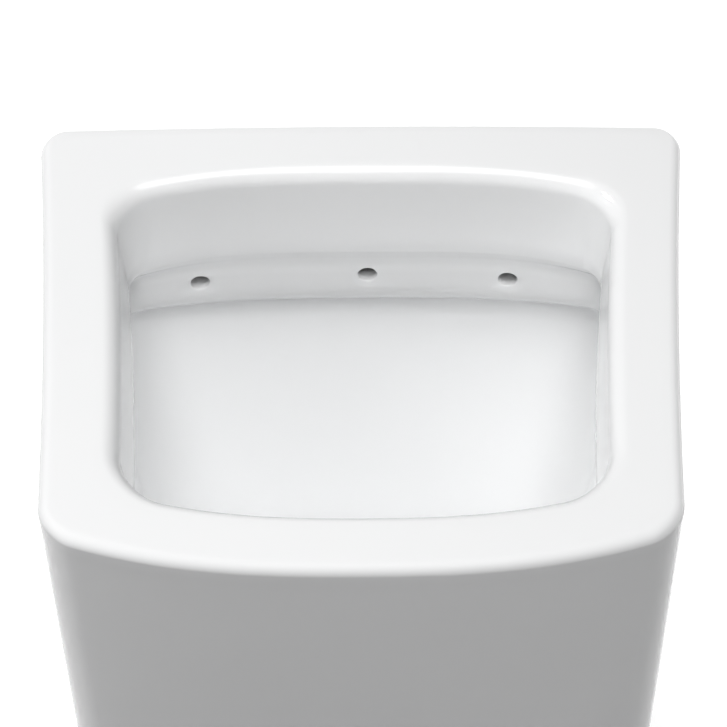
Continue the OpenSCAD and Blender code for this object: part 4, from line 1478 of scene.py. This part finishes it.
def lamp(name, place, aim, width, height, power, colour=(1, 1, 1)):
    light = bpy.data.lights.new(name, "AREA")
    light.shape = "RECTANGLE"
    light.size, light.size_y = width, height
    light.energy = power
    light.color = colour
    piece = bpy.data.objects.new(name, light)
    bpy.context.scene.collection.objects.link(piece)
    piece.location = place
    piece.rotation_euler = (Vector(aim) - Vector(place)).to_track_quat("-Z", "Y").to_euler()
    return piece


def only_gloss(piece):
    """The lamp is seen in glossy surfaces, and its light reaches others only by way of those."""
    piece.visible_diffuse = False


def no_gloss(piece):
    piece.visible_glossy = False


def floor_finish():
    """A plain floor that looks white to the camera, far away too, and keeps the shadow."""
    finish = Finish("floor")
    seen = finish.node("ShaderNodeLightPath", output="Is Camera Ray")
    glossy = finish.node("ShaderNodeLightPath", output="Is Glossy Ray")
    unseen = finish.node("ShaderNodeBsdfDiffuse", None, {"Color": (0.14, 0.14, 0.144, 1)})
    pale = finish.node("ShaderNodeBsdfDiffuse", None, {"Color": (0.93, 0.93, 0.93, 1)})
    strength = finish.range(finish.length(finish.place()), 0.7, 2.6, 0.35, 1.0)
    glow = finish.node("ShaderNodeEmission", None, {"Color": (1, 1, 1, 1), "Strength": strength})
    white = finish.node("ShaderNodeAddShader", None, {0: pale, 1: glow})
    share = finish.larger(seen, glossy)
    both = finish.node("ShaderNodeMixShader", None, {0: share, 1: unseen, 2: white})
    finish.node("ShaderNodeOutputMaterial", None, {"Surface": both})
    return finish.material


def studio():
    deselect()
    bpy.ops.mesh.primitive_plane_add(size=16, location=(0, 0, 0))
    floor = bpy.context.object
    floor.name = "floor"
    floor.data.materials.append(floor_finish())

    world = bpy.data.worlds.new("studio")
    bpy.context.scene.world = world
    world.use_nodes = True
    tree = world.node_tree
    tree.nodes.clear()
    path = tree.nodes.new("ShaderNodeLightPath")
    seen = tree.nodes.new("ShaderNodeMath")
    seen.operation = "MAXIMUM"
    tree.links.new(path.outputs["Is Camera Ray"], seen.inputs[0])
    tree.links.new(path.outputs["Is Glossy Ray"], seen.inputs[1])
    strength = tree.nodes.new("ShaderNodeMapRange")
    strength.inputs["To Min"].default_value = 0.066
    strength.inputs["To Max"].default_value = 1.0
    tree.links.new(seen.outputs[0], strength.inputs["Value"])
    background = tree.nodes.new("ShaderNodeBackground")
    background.inputs["Color"].default_value = (1, 1, 1, 1)
    tree.links.new(strength.outputs[0], background.inputs["Strength"])
    output = tree.nodes.new("ShaderNodeOutputWorld")
    tree.links.new(background.outputs[0], output.inputs["Surface"])

    no_gloss(lamp("key", (0, -2.2, 4.46), (0, 0, 0.6), 1.6, 1.6, 89))
    no_gloss(lamp("top_lamp", (0, -1.15, 4.9), (0, 0, 0.6), 1.6, 1.6, 47))
    no_gloss(lamp("side_lamp", (-2.5, 0.3, 2.9), (0, 0, 0.6), 1.2, 1.2, 48))

    # The bright line along the mouth's rear edge.
    strip = lamp("strip", (-0.015, 0.0575, 0.95), (-0.015, 0.13, 0.659), 0.37, 0.28, 0.18)
    strip.data.spread = math.radians(56)
    strip.visible_camera = False
    only_gloss(strip)
    corner_strip = lamp("corner_strip", (-0.45, 0.36, 1.6), (0.135, 0.105, 0.65), 0.3, 0.3, 0.5)
    corner_strip.data.spread = math.radians(15)
    only_gloss(corner_strip)

    # These stand lower than the rim and light the outside faces, the front a little too.
    no_gloss(lamp("back_lamp", (0.5, 2.6, 0.35), (0, 0.15, 0.33), 1.4, 0.5, 30))
    no_gloss(lamp("right_lamp", (2.4, 1.2, 0.35), (0.15, 0, 0.33), 1.4, 0.5, 16))

    bpy.context.scene.cycles.diffuse_bounces = 12
    bpy.context.scene.cycles.max_bounces = 16

    view = bpy.context.scene.view_settings
    view.view_transform = "Standard"


# ---------------------------------------------------------------- putting it together


def waste_and_trap(stainless, plastic, pipe, rubber):
    fitted(waste(), "waste_flange", stainless)
    fitted(strainer(), "strainer_dome", stainless, "strainer")
    fitted(dip_tube(), "dip_tube", plastic, "trap_insert")
    fitted(back_nut(), "back_nut", plastic)
    fitted(union_nut(), "trap_union_nut", plastic)
    fitted(outlet_nut(), "outlet_nut", plastic)
    fitted(trap_body(), "trap_body", plastic)
    fitted(trap_cup(), "trap_cup", plastic)
    fitted(outlet_pipe(), "outlet_pipe", pipe)
    fitted(inlet_grommet(), "inlet_grommet", rubber)


def fixings(zinc, plastic, gloss):
    fitted(cover_cap(-1, "left_cap"), "cover_cap_left", gloss, "cap_left")
    fitted(cover_cap(1, "right_cap"), "cover_cap_right", gloss, "cap_right")
    fitted(bracket(-1, "left_bracket"), "floor_bracket_left", zinc)
    fitted(bracket(1, "right_bracket"), "floor_bracket_right", zinc)
    for hand, side in ((-1, "left"), (1, "right")):
        screw = fitted(side_screw(hand), "side_screws", zinc)
        bush = fitted(side_bush(hand), "side_bushes", plastic)
        for piece, kind in ((screw, "screw"), (bush, "bush")):
            piece.name = f"{side}_{kind}"
            piece.data.name = piece.name


def repaint(finish, *names):
    """Gives the solids that stay as they are their finish."""
    for name in names:
        for slot in nodes[name].material_slots:
            slot.material = finish


def inner_pieces():
    rubber = rubber_finish()
    stainless = stainless_finish()
    plastic = trap_plastic_finish()
    zinc = zinc_finish()
    waste_and_trap(stainless, plastic, pipe_plastic_finish(), rubber)
    fixings(zinc, plastic, cap_plastic_finish())
    seals = ("flange_gasket", "under_gasket", "dip_tube_ring", "trap_union_washer", "trap_cup_seal")
    repaint(rubber, *seals, "outlet_cone_washer", "socket_lip_seal")
    repaint(plastic, "friction_washer")
    repaint(zinc, "bracket_nuts")


photo_camera()
studio()
casting()
inner_pieces()
